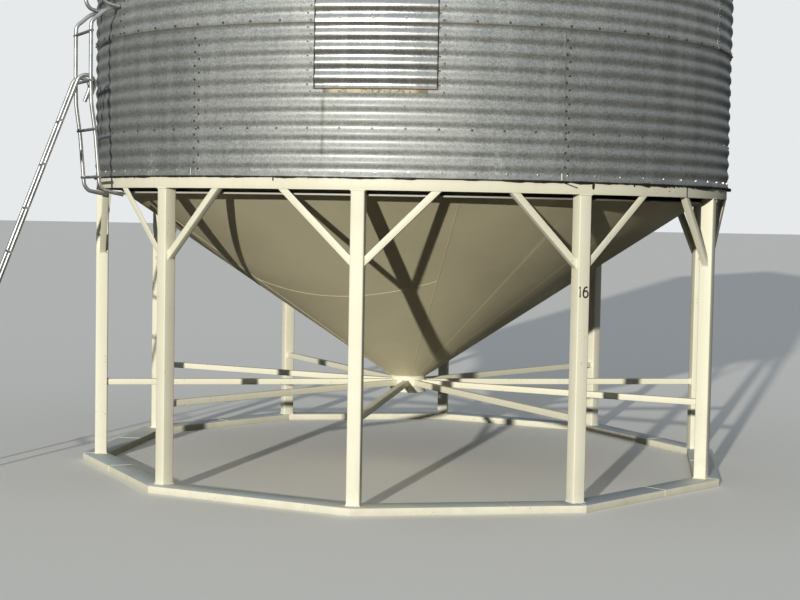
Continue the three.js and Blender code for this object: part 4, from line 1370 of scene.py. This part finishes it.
down = Vector((cos(HOOK_SLOPE), -sin(HOOK_SLOPE)))
outwards = Vector((sin(HOOK_SLOPE), cos(HOOK_SLOPE)))
hook_top = HOOK_CENTRE + outwards * HOOK_BEND
hook_end = HOOK_CENTRE - outwards * HOOK_BEND + down * HOOK_RETURN
hook_foot = hook_top + down * ((hook_top.y + 2 * TUBE_RADIUS) / sin(HOOK_SLOPE))
lean = degrees(pi / 2 - HOOK_SLOPE)
leaning = bmesh.new()
hook_arc = arc(HOOK_CENTRE, HOOK_BEND, lean, lean + 180, HOOK_BEND_STEPS)
add_rails(leaning, HOOK_SPACING / 2, [hook_foot, *hook_arc, hook_end])
for index in range(HOOK_RUNGS):
    place = hook_top + down * (HOOK_FIRST_RUNG + index * HOOK_RUNG_STEP)
    add_rung(leaning, HOOK_SPACING / 2 + TUBE_RADIUS + HOOK_OVERHANG, place.x, place.y)
cut_off(leaning, leaning.verts[:], (0, 0, 0), (0, 0, -1))
shaded_smooth(leaning)
hang = Matrix.Translation((0, -STAND_OFF, 0)) @ Matrix.Rotation(HOOK_TWIST, 4, "Z")
bmesh.ops.transform(leaning, matrix=hang, verts=leaning.verts)
piece("leaning_ladder", leaning, zinc_tube, "zinc_tube", "hook_ladder", bearing=LADDER_BEARING)


# Roof ladder: straight rails up the roof from the wall ladder to the lid, of the same tube.
# It stands on short feet, each with a small square plate on the roof.
ROOF_LADDER_LIFT = 0.130 / cos(ROOF_PITCH)
ROOF_LADDER_OUTER = 2.700
ROOF_LADDER_INNER = 0.480
ROOF_RUNG_STEP = 0.400 * cos(ROOF_PITCH)
RUNGS_PER_FOOT = 3
FOOT_SEAT = 0.004
FOOT_HALF = 0.03
FOOT_THICKNESS = 0.012
FOOT_ROUNDING = 0.002

climb = bmesh.new()
half_spacing = RAIL_SPACING / 2 - SIDE_STEP
rung_total = int((ROOF_LADDER_OUTER - ROOF_LADDER_INNER) / ROOF_RUNG_STEP)
ends = [(radius, roof_top(radius) + ROOF_LADDER_LIFT) for radius in (ROOF_LADDER_OUTER, ROOF_LADDER_INNER)]
add_rails(climb, half_spacing, ends)
for index in range(rung_total):
    radius = ROOF_LADDER_OUTER - (index + 0.5) * ROOF_RUNG_STEP
    height = roof_top(radius) + ROOF_LADDER_LIFT
    add_rung(climb, half_spacing, radius, height)
    if index % RUNGS_PER_FOOT != 1:
        continue
    foot = roof_top(radius) + FOOT_SEAT
    for across in (-half_spacing, half_spacing):
        add_pipe(climb, [(across, -radius, height), (across, -radius, foot)], RUNG_RADIUS, 3)
        plate_low = (across - FOOT_HALF, -radius - FOOT_HALF, foot - FOOT_THICKNESS)
        plate_high = (across + FOOT_HALF, -radius + FOOT_HALF, foot)
        add_box(climb, plate_low, plate_high, FOOT_ROUNDING)
bmesh.ops.translate(climb, vec=(SIDE_STEP, 0, 0), verts=climb.verts)
shaded_smooth(climb)
piece("roof_climb", climb, zinc_tube, "zinc_tube", "roof_ladder", bearing=LADDER_BEARING)


# Setting: a plain pale floor under a pale sky, and one lamp as low as a late sun from the front left.
# The sky is dim near and below the horizon, and floor and backdrop throw little light on the hopper.
FLOOR_HALF = 200.0
FLOOR_PALE = (0.88, 0.865, 0.83)
LAMP_DIRECTION = Vector((0.275, 0.943, -0.18))
LAMP_ENERGY = 3.3
LAMP_ANGLE = radians(0.95)
LAMP_COLOUR = (1.0, 0.97, 0.875)
SKY_TOP = (0.66, 0.73, 0.80, 1)
SKY_EDGE = (0.085, 0.09, 0.095, 1)
SKY_EDGE_PLACE = 0.52
GROUND_GLOW = (0.035, 0.033, 0.028, 1)
GROUND_PLACE = 0.49
BACKDROP = (0.80, 0.82, 0.83, 1)
SHADE_LIGHT = 0.6

floor_mesh = bmesh.new()
bmesh.ops.create_grid(floor_mesh, x_segments=1, y_segments=1, size=FLOOR_HALF)
floor_data = bpy.data.meshes.new("floor")
floor_mesh.to_mesh(floor_data)
floor_mesh.free()
floor = bpy.data.objects.new("floor", floor_data)
bpy.context.scene.collection.objects.link(floor)
floor_data.materials.append(Finish("pale_floor").finish(FLOOR_PALE, 0.9))
floor.visible_diffuse = False
floor.visible_glossy = False

lamp = bpy.data.objects.new("lamp", bpy.data.lights.new("lamp", "SUN"))
lamp.data.energy = LAMP_ENERGY
lamp.data.angle = LAMP_ANGLE
lamp.data.color = LAMP_COLOUR
lamp.rotation_euler = LAMP_DIRECTION.to_track_quat("-Z", "Y").to_euler()
bpy.context.scene.collection.objects.link(lamp)

sky = bpy.data.worlds.new("pale_sky")
bpy.context.scene.world = sky
sky.use_nodes = True
nodes = sky.node_tree.nodes
links = sky.node_tree.links
upward = nodes.new("ShaderNodeSeparateXYZ")
links.new(nodes.new("ShaderNodeTexCoord").outputs["Generated"], upward.inputs[0])
ramp = nodes.new("ShaderNodeValToRGB")
half_up = nodes.new("ShaderNodeMapRange")
half_up.inputs["From Min"].default_value = -1
links.new(upward.outputs["Z"], half_up.inputs["Value"])
links.new(half_up.outputs["Result"], ramp.inputs["Fac"])
ramp.color_ramp.elements[0].color = GROUND_GLOW
ramp.color_ramp.elements[1].color = SKY_TOP
ramp.color_ramp.elements.new(GROUND_PLACE).color = GROUND_GLOW
ramp.color_ramp.elements.new(SKY_EDGE_PLACE).color = SKY_EDGE
rays = nodes.new("ShaderNodeLightPath").outputs
dimmer = nodes.new("ShaderNodeMapRange")
dimmer.inputs["To Min"].default_value = 1.0
dimmer.inputs["To Max"].default_value = SHADE_LIGHT
links.new(rays["Is Diffuse Ray"], dimmer.inputs["Value"])
links.new(dimmer.outputs["Result"], nodes["Background"].inputs["Strength"])
seen = nodes.new("ShaderNodeMix")
seen.data_type = "RGBA"
seen.inputs["B"].default_value = BACKDROP
links.new(rays["Is Camera Ray"], seen.inputs["Factor"])
links.new(ramp.outputs["Color"], seen.inputs["A"])
links.new(seen.outputs["Result"], nodes["Background"].inputs["Color"])
bpy.context.scene.view_settings.view_transform = "Standard"
